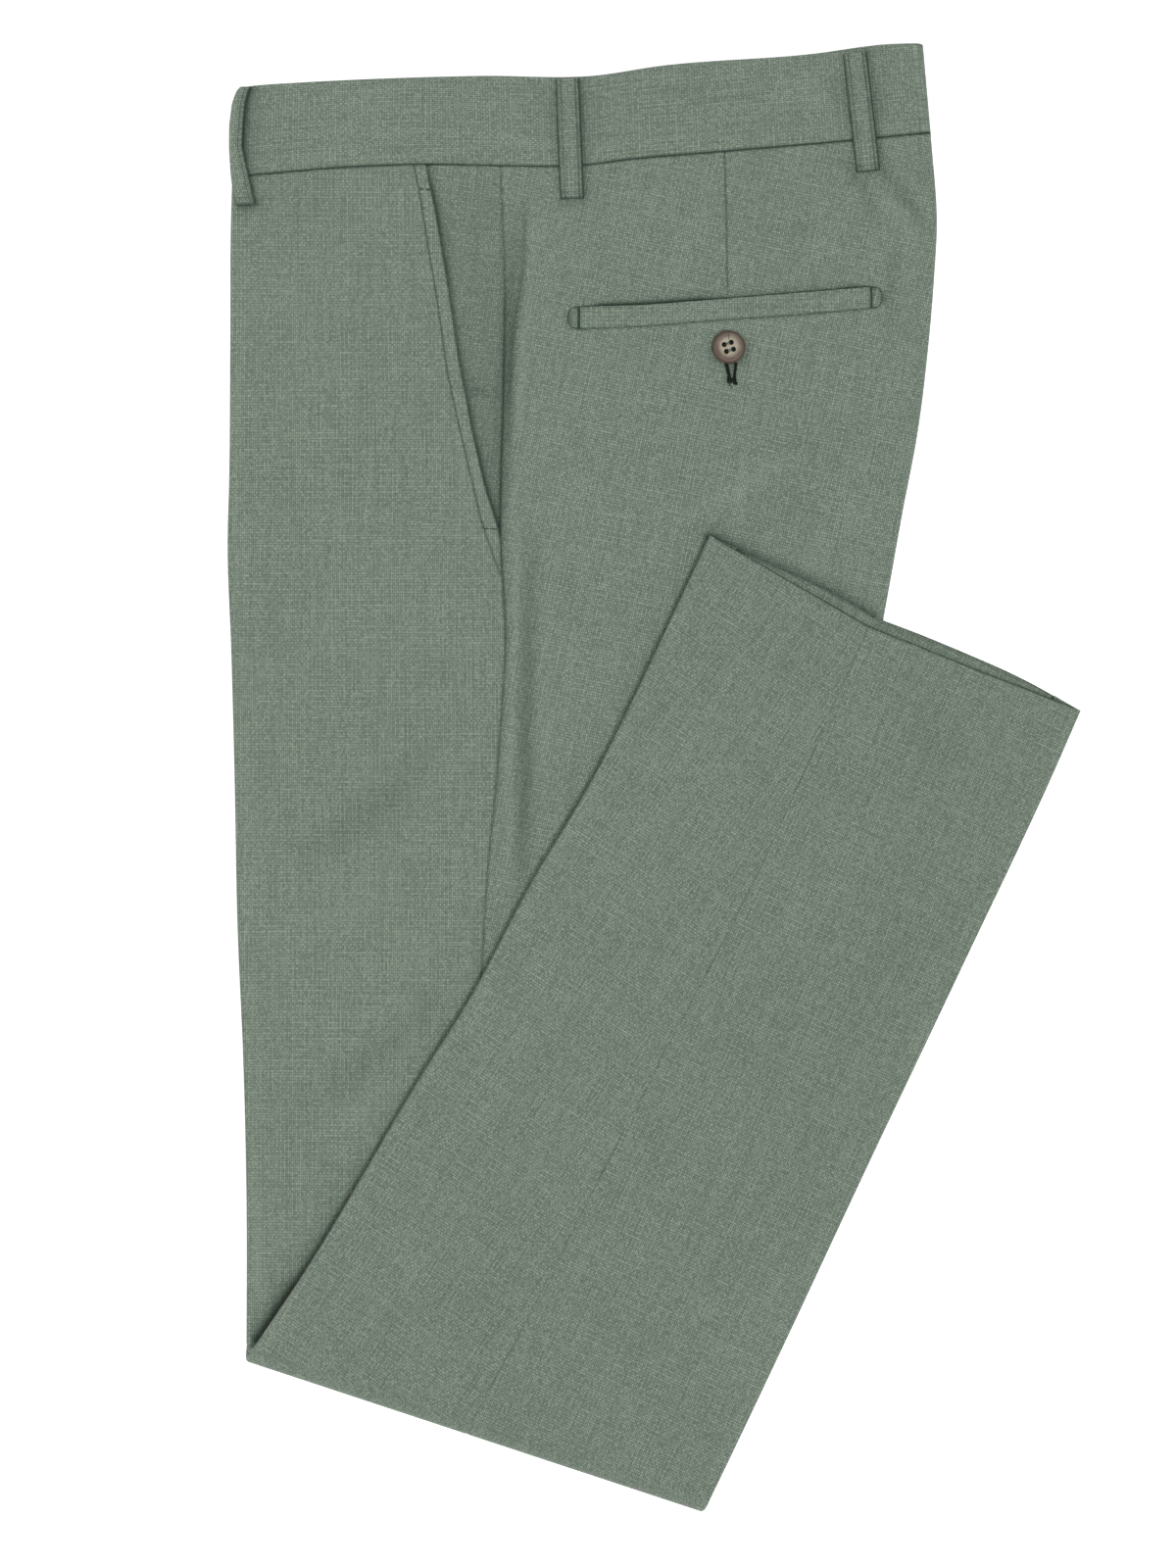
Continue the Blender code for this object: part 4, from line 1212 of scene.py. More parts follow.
def slit_shade(share, above):
    """Painted shade in the slit, which gapes along its front part, and a little near its other end."""
    gape = smooth((share - 0.02) / 0.06) * (1 - 0.75 * smooth((share - 0.4) / 0.12))
    gape = gape + 0.5 * bell(share - 0.93, 0.04)
    return (0.55 + 0.43 * gape) * bell(above - 0.15 - 0.4 * gape, 0.6 + 0.65 * gape)


def pocket_shade(x, y):
    """Painted shade beside the hip pocket's slit, below its welt, round the button and under its
    buttonhole.
    """
    first, last = POCKET_WELT[0].x, POCKET_WELT[-1].x
    share = np.clip((x - first) / (last - first), 0, 1)
    inside = within_welt(x, 1.0)
    lower, upper = welt_lines(x)
    slope = np.sin(math.pi * share) ** 0.5 * cast(y - upper, SLIT_SLOPE) * (y > upper)
    from_x, from_y = x - BUTTON_SPOT.x, y - BUTTON_SPOT.y
    radius = np.hypot(from_x, from_y)
    strength = ROUND_BUTTON - BELOW_BUTTON * from_y / np.maximum(radius, 1)
    button = strength * bell(np.maximum(radius - BUTTON_RADIUS, 0), BUTTON_SHADE_REACH)
    from_hole = np.hypot(from_x - 1.0, np.maximum(BUTTONHOLE[0].end.y - y, 0))
    ends = [distance_to(d_line(*end), x, y)[0] for end in POCKET_ENDS]
    return layered(
        inside * slit_shade(share, y - upper), slope, inside * cast(y - lower + 0.2, WELT_FOOT), button,
        cast(from_hole, UNDER_BUTTONHOLE) * (from_y < 0), cast(np.minimum(*ends), D_STITCH_SHADE),
    )


DART_LINE = through(DART)


def dart_groove(x, y):
    """Depth and shade of the sewn dart."""
    gap, share = distance_to(DART_LINE, x, y)
    end = smooth((1 - share) / 0.12)
    gap = np.where(y > DART[0].y, np.abs(x - DART[0].x), gap)
    return end * (0.42 * bell(gap, 0.42) + 0.14 * bell(gap, 3.0)), end * cast(gap, DART_SEAM_SHADE)


def back_columns():
    """The columns from the side seam to the dart, and from just behind the dart to the back."""
    return fan(30, SEAM_SIDE, LINE), fan(28, LINE[1:], (1.2,))


def dart_reach(way, front, back):
    """Where the dart's column runs: at a steady share of the back's width below the dart."""
    share = np.interp(way, [0.0, 75.0, 200.0], [0.519, 0.513, 0.5])
    return front + back * share


ROWS_LEVEL = 140.0  # below this way the rows run straight across again
NEAR_WAIST = 150.0


def add_back(left, arm, rows, welted):
    """rows are ways; where the hip pocket is, the rows bend to follow it."""
    side = "left" if left else "right"
    near_places, far_places = back_columns()

    def columns(way):
        front, back = leg_widths(way, arm)
        seat = 1 - smooth((way - CROTCH_DOWN) / CROTCH_BLEND)
        edge = back_edge(seat, STACK, CLOTH / 2)
        last = front + back - edge[..., 0, 0]
        dart = dart_reach(way, front, back)
        halves = spread_over(front, dart, near_places), spread_over(dart, last, far_places)
        face = np.concatenate(halves, axis=-1)
        whole = (front + back)[..., None]
        reach = np.concatenate([face, whole - edge[..., 1:, 0]], axis=-1)
        laid = np.concatenate([face, last[..., None] + edge[..., 1:, 2]], axis=-1)
        return reach, laid, edge, face, front, last

    if welted:
        reach_at_pocket = columns(np.array([np.mean(WELT_BETWEEN)]))[0][0]
        upper, lower = (welt_way(reach_at_pocket, edge) for edge in ("upper", "lower"))
        top = spread_over(np.zeros_like(upper), upper, fan(22, EDGE, (0.1, 0.3, 0.5, 0.75, 1.1, 1.8, 3.0)))
        welt = spread_over(upper, lower, fan(3, (0.15, 0.45, 1.0), (0.1, 0.35, 0.6, 1.1)))
        below_pocket = np.full_like(lower, ROWS_LEVEL)
        after = spread_over(lower, below_pocket, fan(28, (0.15, 0.45, 0.9, 1.6, 2.8)))
        rest = rows[rows > ROWS_LEVEL + 1.5]
        way = np.concatenate([top.T, welt.T, after.T, np.repeat(rest[:, None], len(upper), axis=1)])
    else:
        way = np.repeat(rows[:, None], columns(rows[:1])[0].shape[1], axis=1)

    # each column's reach at its own way
    count = way.shape[1]
    face_count = count_of(near_places) + count_of(far_places)
    reach, laid, depth = (np.empty(way.shape) for _ in range(3))
    from_seam, from_edge = (np.full(way.shape, 99.0) for _ in range(2))
    for column in range(count):
        r, l, edge, face, front, last = columns(way[:, column])
        reach[:, column], laid[:, column] = r[:, column], l[:, column]
        if column < face_count:
            depth[:, column] = CLOTH / 2
            from_seam[:, column] = face[:, column] - front
            from_edge[:, column] = last - face[:, column]
        else:
            depth[:, column] = edge[:, column - face_count + 1, 1]

    faces = slice(0, face_count)
    spot = leg_place(way, reach, level_of(left, CLOTH / 2) + 0 * reach, arm)[..., :2]
    fade = face_fade(from_edge, from_seam)
    waves, creases = ((part * fade)[:, faces] for part in panel_relief(left, way, spot))
    down, x, y = way[:, faces], spot[:, faces, 0], spot[:, faces, 1]
    near_waist = down < NEAR_WAIST
    groove, dart = dart_groove(x, y)
    seam = from_seam[:, faces]
    depth[:, faces] += seam_drop(seam) + seam_drop(down) - waves + np.where(near_waist, groove, 0.0)
    shade = cast(way, WAIST_SEAM_SHADE)
    shade[:, faces] = layered(
        cast(down, WAIST_SEAM_SHADE), creases, side_seam_shade(left, down, seam), leg_shade(left, x, y, down),
        behind_seam_shade(left, down, seam), np.where(near_waist, layered(dart, beside_loops(x, y)), 0.0),
    )
    if welted:
        depth[:, faces] += np.where(near_waist, pocket_recess(x, y), 0.0)
        shade[:, faces] = layered(shade[:, faces], np.where(near_waist, pocket_shade(x, y), 0.0))

    points, flat = panel(left, arm, way, reach, depth, laid, BACK_GRAIN)
    made, area = add_panel(f"{side}_back", f"{side}_back", Grid(points, flat, shade))
    width = float(np.ptp(laid, axis=1).max()) * MM
    return made, (width, float(way.max()) * MM), area


FACING_UNDERLAP = 7.0
FACING_DIP = 1.2
BESIDE_MOUTH_REACH = 2.3
# painted shade on the facing: by the side seam, beside the mouth's edge, and all over where it lies sunk,
# more towards its lower end
FACING_SEAM, FACING_SEAM_START = Shade(0.2, 2.6), 60.0
MouthShade = namedtuple("MouthShade", "down beside all_over")
MOUTH_SHADES = [
    MouthShade(0, 0.35, 0.06), MouthShade(14, 0.7, 0.1), MouthShade(30, 0.75, 0.1),
    MouthShade(40, 0.5, 0.12), MouthShade(47, 0.72, 0.12), MouthShade(58, 0.42, 0.13),
    MouthShade(110, 0.5, 0.2), MouthShade(135, 0.68, 0.26), MouthShade(172, 0.7, 0.3),
]


def add_facing(left):
    """The pocket facing: it comes out from under the mouth's edge and is sewn in the side seam."""
    side = "left" if left else "right"
    way = spread_over(0.0, POCKET_LENGTH + 1.0, fan(64, EDGE))
    front, _ = leg_widths(way, LOWER_UNDER)
    mouth = front - read(POCKET_MOUTH, "inset", way)
    reach = spread_over(mouth - FACING_UNDERLAP, front, fan(22, (0.0, 3.0, 5.0, 6.4, 7.2, 8.0, 9.0), EDGE))
    way = np.broadcast_to(way[:, None], reach.shape)
    from_seam = front[:, None] - reach
    out = reach - mouth[:, None]
    depth = CLOTH / 2 + FACING_DIP * (1 - smooth((out - 0.2) / 5.0))
    spot = leg_place(way, reach, level_of(left, CLOTH / 2) + 0 * reach, LOWER_UNDER)[..., :2]
    fade = smooth(out / 5.0) * smooth(from_seam / 4.0)
    waves, creases = (part * fade for part in panel_relief(left, way, spot))
    depth = depth + seam_drop(from_seam) + seam_drop(way) - waves
    beside = read(MOUTH_SHADES, "beside", way) * bell(np.maximum(out, 0), BESIDE_MOUTH_REACH)
    shade = layered(
        cast(way, WAIST_SEAM_SHADE), side_seam_shade(left, way, from_seam), creases, beside,
        read(MOUTH_SHADES, "all_over", way), smooth(way / FACING_SEAM_START) * cast(from_seam, FACING_SEAM),
    )
    points, flat = panel(left, LOWER_UNDER, way, reach, depth, reach, FACING_GRAIN)
    made, area = add_panel(f"{side}_facing", f"{side}_side_piece", Grid(points, flat, shade))
    return made, (float(np.ptp(reach, axis=1).max()) * MM, float(way.max()) * MM), area


Leaf = namedtuple("Leaf", "level waist_short hem_short")
INNER_LEAVES = [Leaf(2.9, 6.0, 1.7), Leaf(3.8, 4.0, 0.8)]
INNER_INSET = 14.4


def add_inner_layers():
    """The hidden inner halves of both legs: two sheets that go round the knee together."""
    grids, widths = [], []
    for leaf in INNER_LEAVES:
        upper = np.linspace(leaf.waist_short, KNEE_START, 80)
        knee = KNEE_START + KNEE_ARC * np.arange(1, LIFT_STEPS) / LIFT_STEPS
        hem = KNEE_END + LOWER_UNDER.length - leaf.hem_short
        lower = spread_over(KNEE_END, hem, fan(60, (0.0,), HEM_EDGE))
        way = np.concatenate([upper, knee, lower])
        front, back = leg_widths(way, LOWER_UNDER)
        inset = np.full_like(way, INNER_INSET)
        reach = spread_over(inset, front + back - inset, fan(40))
        way = np.broadcast_to(way[:, None], reach.shape)
        level = np.full_like(reach, leaf.level)
        points = leg_place(way, reach, level, LOWER_UNDER)
        # the hidden sheets carry a little painted shade
        grids.append(Grid(points, turned(laid_out(way, reach, level, LOWER_UNDER), FACING_GRAIN), 0.1))
        widths.append(float((front + back).max()))
    made = add_cloth("inner_layers_cloth", grids, SUITING, ["folded_layers"])
    size = (2 * max(widths) * MM, float(way.max()) * MM)
    return made, size, sum(cut_area(grid.points) for grid in grids)


# ---------------------------------------------------------------- waistband

BAND_LINING_DEPTH = 1.3
BAND_CORNER = np.array([1.6, -0.2])  # how far its front top corner is rounded off
BAND_HEIGHT = 42.0  # with its turned-in edge
TOP_FOLD_STEPS = 6


def face_reaches(whole, stack):
    """Columns of the band's face, the same all along its height."""
    first = (stack - GAP) / 4
    last = whole - (stack / 2 - SEAM_CLEARANCE)
    return spread_over(first, last, fan(230, (1.5,), (1.5,)))


def band_level(x, level):
    """Height of a level of the two waistband halves."""
    top = waist_top(x) + BAND_PROUD
    bottom = WAIST_LIFT - BAND_PROUD
    return bottom + (top - bottom) * level / BAND_STACK


def band_section():
    """Up the face, over the folded top edge and down inside: share of the height, rise and depth."""
    face = CLOTH / 2
    fold = (BAND_LINING_DEPTH - face) / 2
    up = [(0.0, distance, face) for distance in EDGE[1:]]
    up += [(share, 0.0, face) for share in np.linspace(0.15, 0.9, 11)] + [(1.0, -0.6, face)]
    angles = [math.pi * step / TOP_FOLD_STEPS for step in range(TOP_FOLD_STEPS + 1)]
    over = [(1.0, -fold + fold * math.sin(a), face + fold * (1 - math.cos(a))) for a in angles]
    down = [(share, 0.0, BAND_LINING_DEPTH) for share in (0.9, 0.6, 0.3, 0.03)]
    return up + over + down


def add_band(left):
    side = "left" if left else "right"
    whole = sum(UPPER.widths(0.0))
    top_edge = through(BAND_TOP_EDGE)
    face = face_reaches(whole, BAND_STACK)
    rows, flats, shades = [], [], []
    for share, distance, sheet_depth in band_section():
        length = np.array(BAND_RETURN)
        crease = crease_roll(BAND_STACK, sheet_depth, length)[::-1]
        seam = seam_roll(BAND_STACK, sheet_depth)
        reach = np.concatenate([crease[:-1, 0], face, whole - seam[1:, 0]])
        depth = np.concatenate([crease[:-1, 1], np.full(len(face), sheet_depth), seam[1:, 1]])
        laid = np.concatenate([crease[-1, 0] - crease[:-1, 2], face, face[-1] + seam[1:, 2]])
        lower = UPPER.spot(0.0, reach) + (0.0, 0.05)
        upper = top_edge(np.clip(reach / whole, 0, 1))
        tall = np.linalg.norm(upper - lower, axis=1)[:, None]
        spot = lower + (upper - lower) * (share + distance / tall)
        corner = np.clip((share - 0.8) / 0.2, 0, 1) ** 2 * np.clip(1 - reach / 7.0, 0, 1)
        spot = spot + corner[:, None] * BAND_CORNER
        rise = share * tall[:, 0] + distance
        on_face = (reach >= face[0]) & (reach <= face[-1]) & (depth == sheet_depth)
        shades.append(np.zeros(len(reach)))
        if sheet_depth == CLOTH / 2:
            fade = smooth((reach - face[0]) / 6) * smooth((face[-1] - reach) / 6)
            fade = fade * smooth(rise / 4) * smooth((tall[:, 0] - rise) / 4)
            waves, creases = relief(BAND_FOLDS if left else [], spot[:, 0], spot[:, 1])
            waves, creases = 0.8 * waves * fade, creases * fade
            depth = depth + np.where(on_face, seam_drop(rise, 0.6) - waves, 0.0)
            shade = layered(cast(rise, WAIST_SEAM_SHADE), creases, beside_loops(spot[:, 0], spot[:, 1]))
            shades[-1] = np.where(on_face, shade, cast(rise, WAIST_SEAM_SHADE))
        level = BAND_STACK - depth if left else depth
        rows.append(np.column_stack([spot, band_level(spot[:, 0], level)]))
        flats.append(np.column_stack([rise + sheet_depth * 2, laid]))
    made, area = add_strip(f"waistband_{side}", f"waistband_{side}", rows, flats, shades)
    width = float(np.ptp(np.array(flats)[..., 1]))
    height = float(np.ptp(rows[0][:, 1])) + BAND_HEIGHT
    return made, (width * MM, height * MM), area


# ---------------------------------------------------------------- belt loops

LOOP_SEWN_IN = 1.8  # from each side of the loop to its row of stitches
LOOP_SHEET = 0.7
LOOP_TUCK = 1.2  # how far below the band's top edge it shows


def loop_profile(across, half):
    """How far the loop's face lies below its middle: rounded sides and a groove at each row of stitches."""
    side = half - np.abs(across)
    return seam_drop(side, 0.5, 0.9) + 0.2 * bell(side - LOOP_SEWN_IN, 0.35)


# painted shade on the loops: their sides, darker on the right, and a line at each row of stitches; at the
# foot and the tack, painted shade together with the dark colour of the tack's thread
LOOP_SIDE, LOOP_FAR_SIDE, LOOP_STITCH_SHADE = Shade(0.8, 0.6), Shade(0.97, 0.85), Shade(0.6, 0.42)
FLAT_FOOT_SHADE, FLAT_TACK_SHADE = Shade(0.9, 0.8), Shade(0.3, 0.7)
FRONT_FOOT_SHADE, FRONT_TACK_SHADE = Shade(0.5, 0.9), Shade(0.3, 0.8)
TACK_UP = 2.6  # from a loop's foot


def loop_shade(across, half):
    side = half - np.abs(across)
    edge = np.where(across > 0, cast(side, LOOP_FAR_SIDE), cast(side, LOOP_SIDE))
    return layered(edge, cast(side - LOOP_SEWN_IN, LOOP_STITCH_SHADE))


def loop_columns(half):
    places = np.array([0.0, 0.12, 0.3, 0.55, 0.9, 1.3, 1.6, 1.8, 2.0, 2.3, 2.9, 3.8])
    return np.concatenate([-half + places, [0.0], half - places[::-1]])


def face_height(x, y, left):
    """The outer face of the band, or of the panel below it."""
    on_band = y > np.interp(x, WAIST_LINE[:, 0], WAIST_LINE[:, 1])
    if left:
        return waist_top(x) + BAND_PROUD * on_band
    return WAIST_LIFT - BAND_PROUD * on_band


def add_flat_loop(left, loop):
    side, out = ("left", 1) if left else ("right", -1)
    half = LOOP_WIDTH / 2
    across = loop_columns(half)
    places = fan(30, (0.0, 0.01, 0.025, 0.04), (0.0, 0.01, 0.02, 0.03, 0.04, 0.055, 0.07))
    top, bottom, down, over = loop_lines(loop)
    top = top + down * LOOP_TUCK
    length = np.linalg.norm(bottom - top)
    rows, flats, shades = [], [], []
    for share in spread_over(0.0, 1.0, places):
        middle = top + (bottom - top) * share
        base = face_height(middle[0], loop.top.y, left) + out * (GAP + LOOP_WALL - LOOP_SHEET / 2)
        bow = LOOP_BOW * math.sin(math.pi * share) if left else 0.0
        ends = min(share, 1 - share) * length
        sink = float(seam_drop(np.array(ends), 0.5, 1.4)) + 0.35 * float(bell(ends - 2.2, 1.0))
        height = base + bow - out * (loop_profile(across, half) + sink)
        spot = middle + across[:, None] * over
        rows.append(np.column_stack([spot, height]))
        flats.append(np.column_stack([across, np.full(len(across), share * length)]))
        from_foot = (1 - share) * length
        foot = cast(from_foot, FLAT_FOOT_SHADE) + cast(from_foot - TACK_UP, FLAT_TACK_SHADE)
        shades.append(layered(loop_shade(across, half), foot))
    name = f"belt_loop_{side}_{loop.name}"
    made, area = add_strip(name, name, rows, flats, shades, LOOP_SHEET)
    return made, (LOOP_WIDTH * MM, float(length) * MM), area


def add_front_loop(left):
    """The loop at the front crease, bent over the edge of its own half of the band."""
    side, out = ("left", 1) if left else ("right", -1)
    tube = (BAND_STACK - GAP) / 2
    radius = tube / 2 + GAP + LOOP_WALL - LOOP_SHEET / 2
    hang = tube / 2 - GAP / 2
    foot, top = FRONT_LOOP[0].y, FRONT_LOOP[-1].y
    rows, flats, shades = [], [], []
    for y in np.linspace(top, foot, 40):
        edge, reach = (read(FRONT_LOOP, name, y) for name in ("edge", "reach"))
        flat_part = reach - tube / 2
        bent = radius * math.pi / 2
        width = min(LOOP_WIDTH, flat_part + bent + hang)
        centre = face_height(edge, top, left) - out * tube / 2
        way = width / 2 + loop_columns(width / 2)
        lift = radius - loop_profile(way - width / 2, width / 2)
        turn = np.clip((way - flat_part) / radius, 0, math.pi / 2)
        inward = np.where(way < flat_part, reach - way, tube / 2 - lift * np.sin(turn))
        rise = lift * np.cos(turn) - np.maximum(way - flat_part - bent, 0)
        rows.append(np.column_stack([edge + inward, np.full(len(way), y), centre + out * rise]))
        flats.append(np.column_stack([way, np.full(len(way), y)]))
        by_foot = cast(y - foot, FRONT_FOOT_SHADE) + cast(y - foot - TACK_UP, FRONT_TACK_SHADE)
        shades.append(layered(loop_shade(way - width / 2, width / 2), by_foot))
    name = f"belt_loop_{side}_front"
    made, area = add_strip(name, name, rows, flats, shades, LOOP_SHEET)
    return made, (LOOP_WIDTH * MM, (top - foot) * MM), area


# ---------------------------------------------------------------- hip pocket

WELT_SHEET = 0.6
# painted shade along the welt's sewn lower edge and at its ends
WELT_SEAM, WELT_END = Shade(0.5, 0.5), Shade(0.3, 0.6)


def panel_face(x, y):
    """Height of the left side's outer face at a place above the knee, in millimetres."""
    x, y = np.broadcast_arrays(np.asarray(x, float), np.asarray(y, float))
    spot = np.stack([x, y], axis=-1)
    return upper_height(spot, STACK) + top_relief(x, y)[0]


def add_welt():
    """The welt: sewn in along its lower edge, with a folded upper edge that stands over the slit."""
    x = spread_over(POCKET_WELT[0].x, POCKET_WELT[-1].x, fan(60, (0.0, 0.6), (0.0, 0.6)))
    shares = spread_over(0.0, 1.0, fan(10, (0.0, 0.02, 0.05, 0.1), (0.0, 0.03, 0.08)))
    lower, upper = welt_lines(x)
    tall = upper - lower
    rows, flats, shades = [], [], []
    for share in shares:
        y = lower + tall * share
        from_lower, from_upper = share * tall, (1 - share) * tall
        offset = 0.06 + 0.22 * smooth(from_lower / 8.0) - WELT_SHEET / 2
        offset = offset - seam_drop(from_lower, 0.35, 1.0) - seam_drop(from_upper, 0.25, 0.6)
        ends = np.minimum(x - x[0], x[-1] - x)
        offset = offset + 0.34 * (1 - smooth((ends - 0.5) / 3.0)) * smooth(from_lower / 0.8)
        rows.append(np.column_stack([x, y, panel_face(x, y) + offset]))
        flats.append(np.column_stack([y, x]))
        shades.append(layered(cast(from_lower, WELT_SEAM), cast(ends, WELT_END)))
    made, area = add_strip("hip_pocket_welt", "back_pocket_welt", rows, flats, shades, WELT_SHEET)
    size = (float(np.ptp(x)) * MM, float(tall.max() + 2 * WELT_SHEET) * MM)  # its edges are turned in
    return made, size, area


# ---------------------------------------------------------------- button

Turn = namedtuple("Turn", "radius height")
BUTTON_PROFILE = [  # from the middle of the dish, over the rim and round to the base
    Turn(0.0, 1.95), Turn(1.5, 1.95), Turn(3.0, 2.0), Turn(4.2, 2.16), Turn(4.9, 2.45), Turn(5.25, 2.72),
    Turn(5.6, 2.88), Turn(6.0, 2.93), Turn(6.5, 2.86), Turn(7.0, 2.6), Turn(7.35, 2.2), Turn(7.55, 1.75),
    Turn(BUTTON_RADIUS, 1.35), Turn(7.45, 0.95), Turn(7.0, 0.55), Turn(6.0, 0.2), Turn(5.0, 0.05),
    Turn(0.0, 0.0),
]
BUTTON_TURNS = 72


def button_base():
    return float(panel_face(BUTTON_SPOT.x, BUTTON_SPOT.y)) + GAP


def hole_places():
    for step in range(4):
        angle = BUTTON_TURN + math.radians(45 + 90 * step)
        reach = BUTTON_HOLE_SPREAD * math.sqrt(2)
        yield BUTTON_SPOT.x + reach * math.cos(angle), BUTTON_SPOT.y + reach * math.sin(angle)


def mesh_from(work, name):
    mesh = bpy.data.meshes.new(name)
    work.to_mesh(mesh)
    work.free()
    return mesh


def add_button():
    centre = Vector((BUTTON_SPOT.x * MM, BUTTON_SPOT.y * MM, button_base() * MM))
    work = bmesh.new()
    profile = [work.verts.new((turn.radius * MM, 0, turn.height * MM)) for turn in BUTTON_PROFILE]
    edges = [work.edges.new(pair) for pair in zip(profile, profile[1:])]
    bmesh.ops.spin(
        work, geom=profile + edges, cent=(0, 0, 0), axis=(0, 0, 1), angle=2 * math.pi,
        steps=BUTTON_TURNS, use_merge=True,
    )
    bmesh.ops.remove_doubles(work, verts=work.verts, dist=0.002 * MM)
    bmesh.ops.translate(work, verts=work.verts, vec=centre)
    bmesh.ops.recalc_face_normals(work, faces=work.faces)
    body = bpy.data.objects.new("button_body", mesh_from(work, "button_body"))
    SHOWN.objects.link(body)
    work = bmesh.new()
    for x, y in hole_places():
        place = Matrix.Translation((x * MM, y * MM, centre.z))
        bmesh.ops.create_cone(
            work, cap_ends=True, segments=20, radius1=BUTTON_HOLE_RADIUS * MM,
            radius2=BUTTON_HOLE_RADIUS * MM, depth=8 * MM, matrix=place,
        )
    holes = bpy.data.objects.new("button_holes", mesh_from(work, "button_holes"))
    SHOWN.objects.link(holes)
    cut = body.modifiers.new("holes", "BOOLEAN")
    cut.operation = "DIFFERENCE"
    cut.object = holes
    soften = body.modifiers.new("soften", "BEVEL")
    soften.width = 0.09 * MM
    soften.segments = 2
    soften.limit_method = "ANGLE"
    soften.angle_limit = math.radians(50)
    bpy.context.view_layer.update()
    mesh = bpy.data.meshes.new_from_object(body.evaluated_get(bpy.context.evaluated_depsgraph_get()))
    for used in (body, holes):
        bpy.data.objects.remove(used)
    mesh.name = "hip_pocket_button"
    mesh.shade_smooth()
    mesh.set_sharp_from_angle(angle=math.radians(40))
    finish_piece("hip_pocket_button", mesh, HORN, ["back_pocket_button"])


# ---------------------------------------------------------------- stitches

Stitch = namedtuple("Stitch", "x y z turn length radius")


def add_stitches(name, stitches, material):
    """Short threads joined in one mesh."""
    work = bmesh.new()
    for stitch in stitches:
        place = Matrix.Translation(Vector((stitch.x, stitch.y, stitch.z)) * MM)
        size = Matrix.Diagonal((stitch.length / 2 * MM, stitch.radius * MM, stitch.radius * MM, 1.0))
        turn = Matrix.Rotation(stitch.turn, 4, "Z")
        bmesh.ops.create_icosphere(work, subdivisions=1, radius=1.0, matrix=place @ turn @ size)
    mesh = mesh_from(work, name)
    mesh.shade_smooth()
    finish_piece(name, mesh, material)


def run_of_stitches(line, surface, pitch, length, radius, sunk=0.0):
    """Stitches one after the other along a curve."""
    count = max(2, round(line.length / pitch))
    shares = (np.arange(count) + 0.5) / count
    spots = line(shares)
    ahead = line(np.minimum(shares + 0.002, 1.0)) - line(shares - 0.002)
    heights = surface(spots[:, 0], spots[:, 1]) - sunk
    return [
        Stitch(x, y, z, math.atan2(dy, dx), length, radius)
        for (x, y), z, (dx, dy) in zip(spots, heights, ahead)
    ]


def tack(start, end, surface, width, pitch=0.36, radius=0.24, rise=0.1):
    """A bar tack: threads side by side across a short line."""
    start, end = np.array(start), np.array(end)
    count = max(2, round(np.linalg.norm(end - start) / pitch))
    spots = start + (end - start) * ((np.arange(count) + 0.5) / count)[:, None]
    across = math.atan2(end[1] - start[1], end[0] - start[0]) + math.pi / 2
    heights = surface(spots[:, 0], spots[:, 1]) + rise
    sway = 0.12 * np.sin(np.arange(count) * 2.3)
    return [
        Stitch(x, y, z, across + lean, width * (1 + lean), radius)
        for (x, y), z, lean in zip(spots, heights, sway)
    ]


def pocket_stitch_line():
    ways = np.linspace(2.0, POCKET_STITCHING[-1].down - 1.0, 30)
    front, _ = UPPER.widths(ways / UPPER.length)
    return through(UPPER.spot(ways / UPPER.length, front - read(POCKET_STITCHING, "inset", ways)))


LOOP_TACK_SHORT = 0.6  # a loop's tacks stop this far inside its sides
ABOVE_WAIST = 400.0  # a y beyond the waist's end
TACK_SINK = 0.35  # how deep a loop's tacks lie in it


def add_sewing():
    stitching = run_of_stitches(pocket_stitch_line(), panel_face, 2.5, 1.9, 0.22, 0.26)
    for end in POCKET_ENDS:
        stitching += run_of_stitches(d_line(*end), panel_face, 1.3, 1.3, 0.34, -0.12)
    add_stitches("pocket_stitching", stitching, SEAM_THREAD)

    def on_welt(x, y):
        return panel_face(x, y) + 0.3

    def on_loop(x, y):
        return face_height(x, ABOVE_WAIST, True) + GAP + LOOP_WALL - TACK_SINK

    first, last = POCKET_WELT[0], POCKET_WELT[-1]
    tacks = tack((first.x - 0.6, first.lower), (first.x - 0.6, first.upper), on_welt, 1.5)
    tacks += tack((last.x + 0.8, last.lower), (last.x + 0.8, last.upper), on_welt, 0.9)
    for bar in POCKET_TACKS:
        tacks += tack(bar.start, bar.end, panel_face, bar.width, rise=0.0)
    for loop in FLAT_LOOPS:
        top, bottom, down, over = loop_lines(loop)
        over = over * (LOOP_WIDTH / 2 - LOOP_TACK_SHORT)
        for middle, width in ((top + down * (LOOP_TUCK + 0.7), 1.0), (bottom - down * 0.9, 1.5)):
            tacks += tack(middle - over, middle + over, on_loop, width, 0.42, rise=0.0)
    add_stitches("bar_tacks", tacks, TACK_THREAD)
    add_buttonhole()


def add_buttonhole():
    """The stitched slit that the button goes through, and the end of its thread."""
    threads = []
    for bar in BUTTONHOLE:
        threads += tack(bar.start, bar.end, panel_face, bar.width, 0.42, 0.3, 0.15)
    threads += run_of_stitches(through(BUTTONHOLE_TAIL), panel_face, 0.6, 1.1, 0.24, -0.2)
    for x, y in hole_places():  # the thread's turns down in the button's holes, near black: the thread, and painted shade deep in the holes
        threads.append(Stitch(x, y, button_base() + 0.5, 0.0, 2 * BUTTON_HOLE_RADIUS, BUTTON_HOLE_RADIUS))
    add_stitches("buttonhole_stitches", threads, BUTTONHOLE_THREAD_AND_HOLE_SHADE)


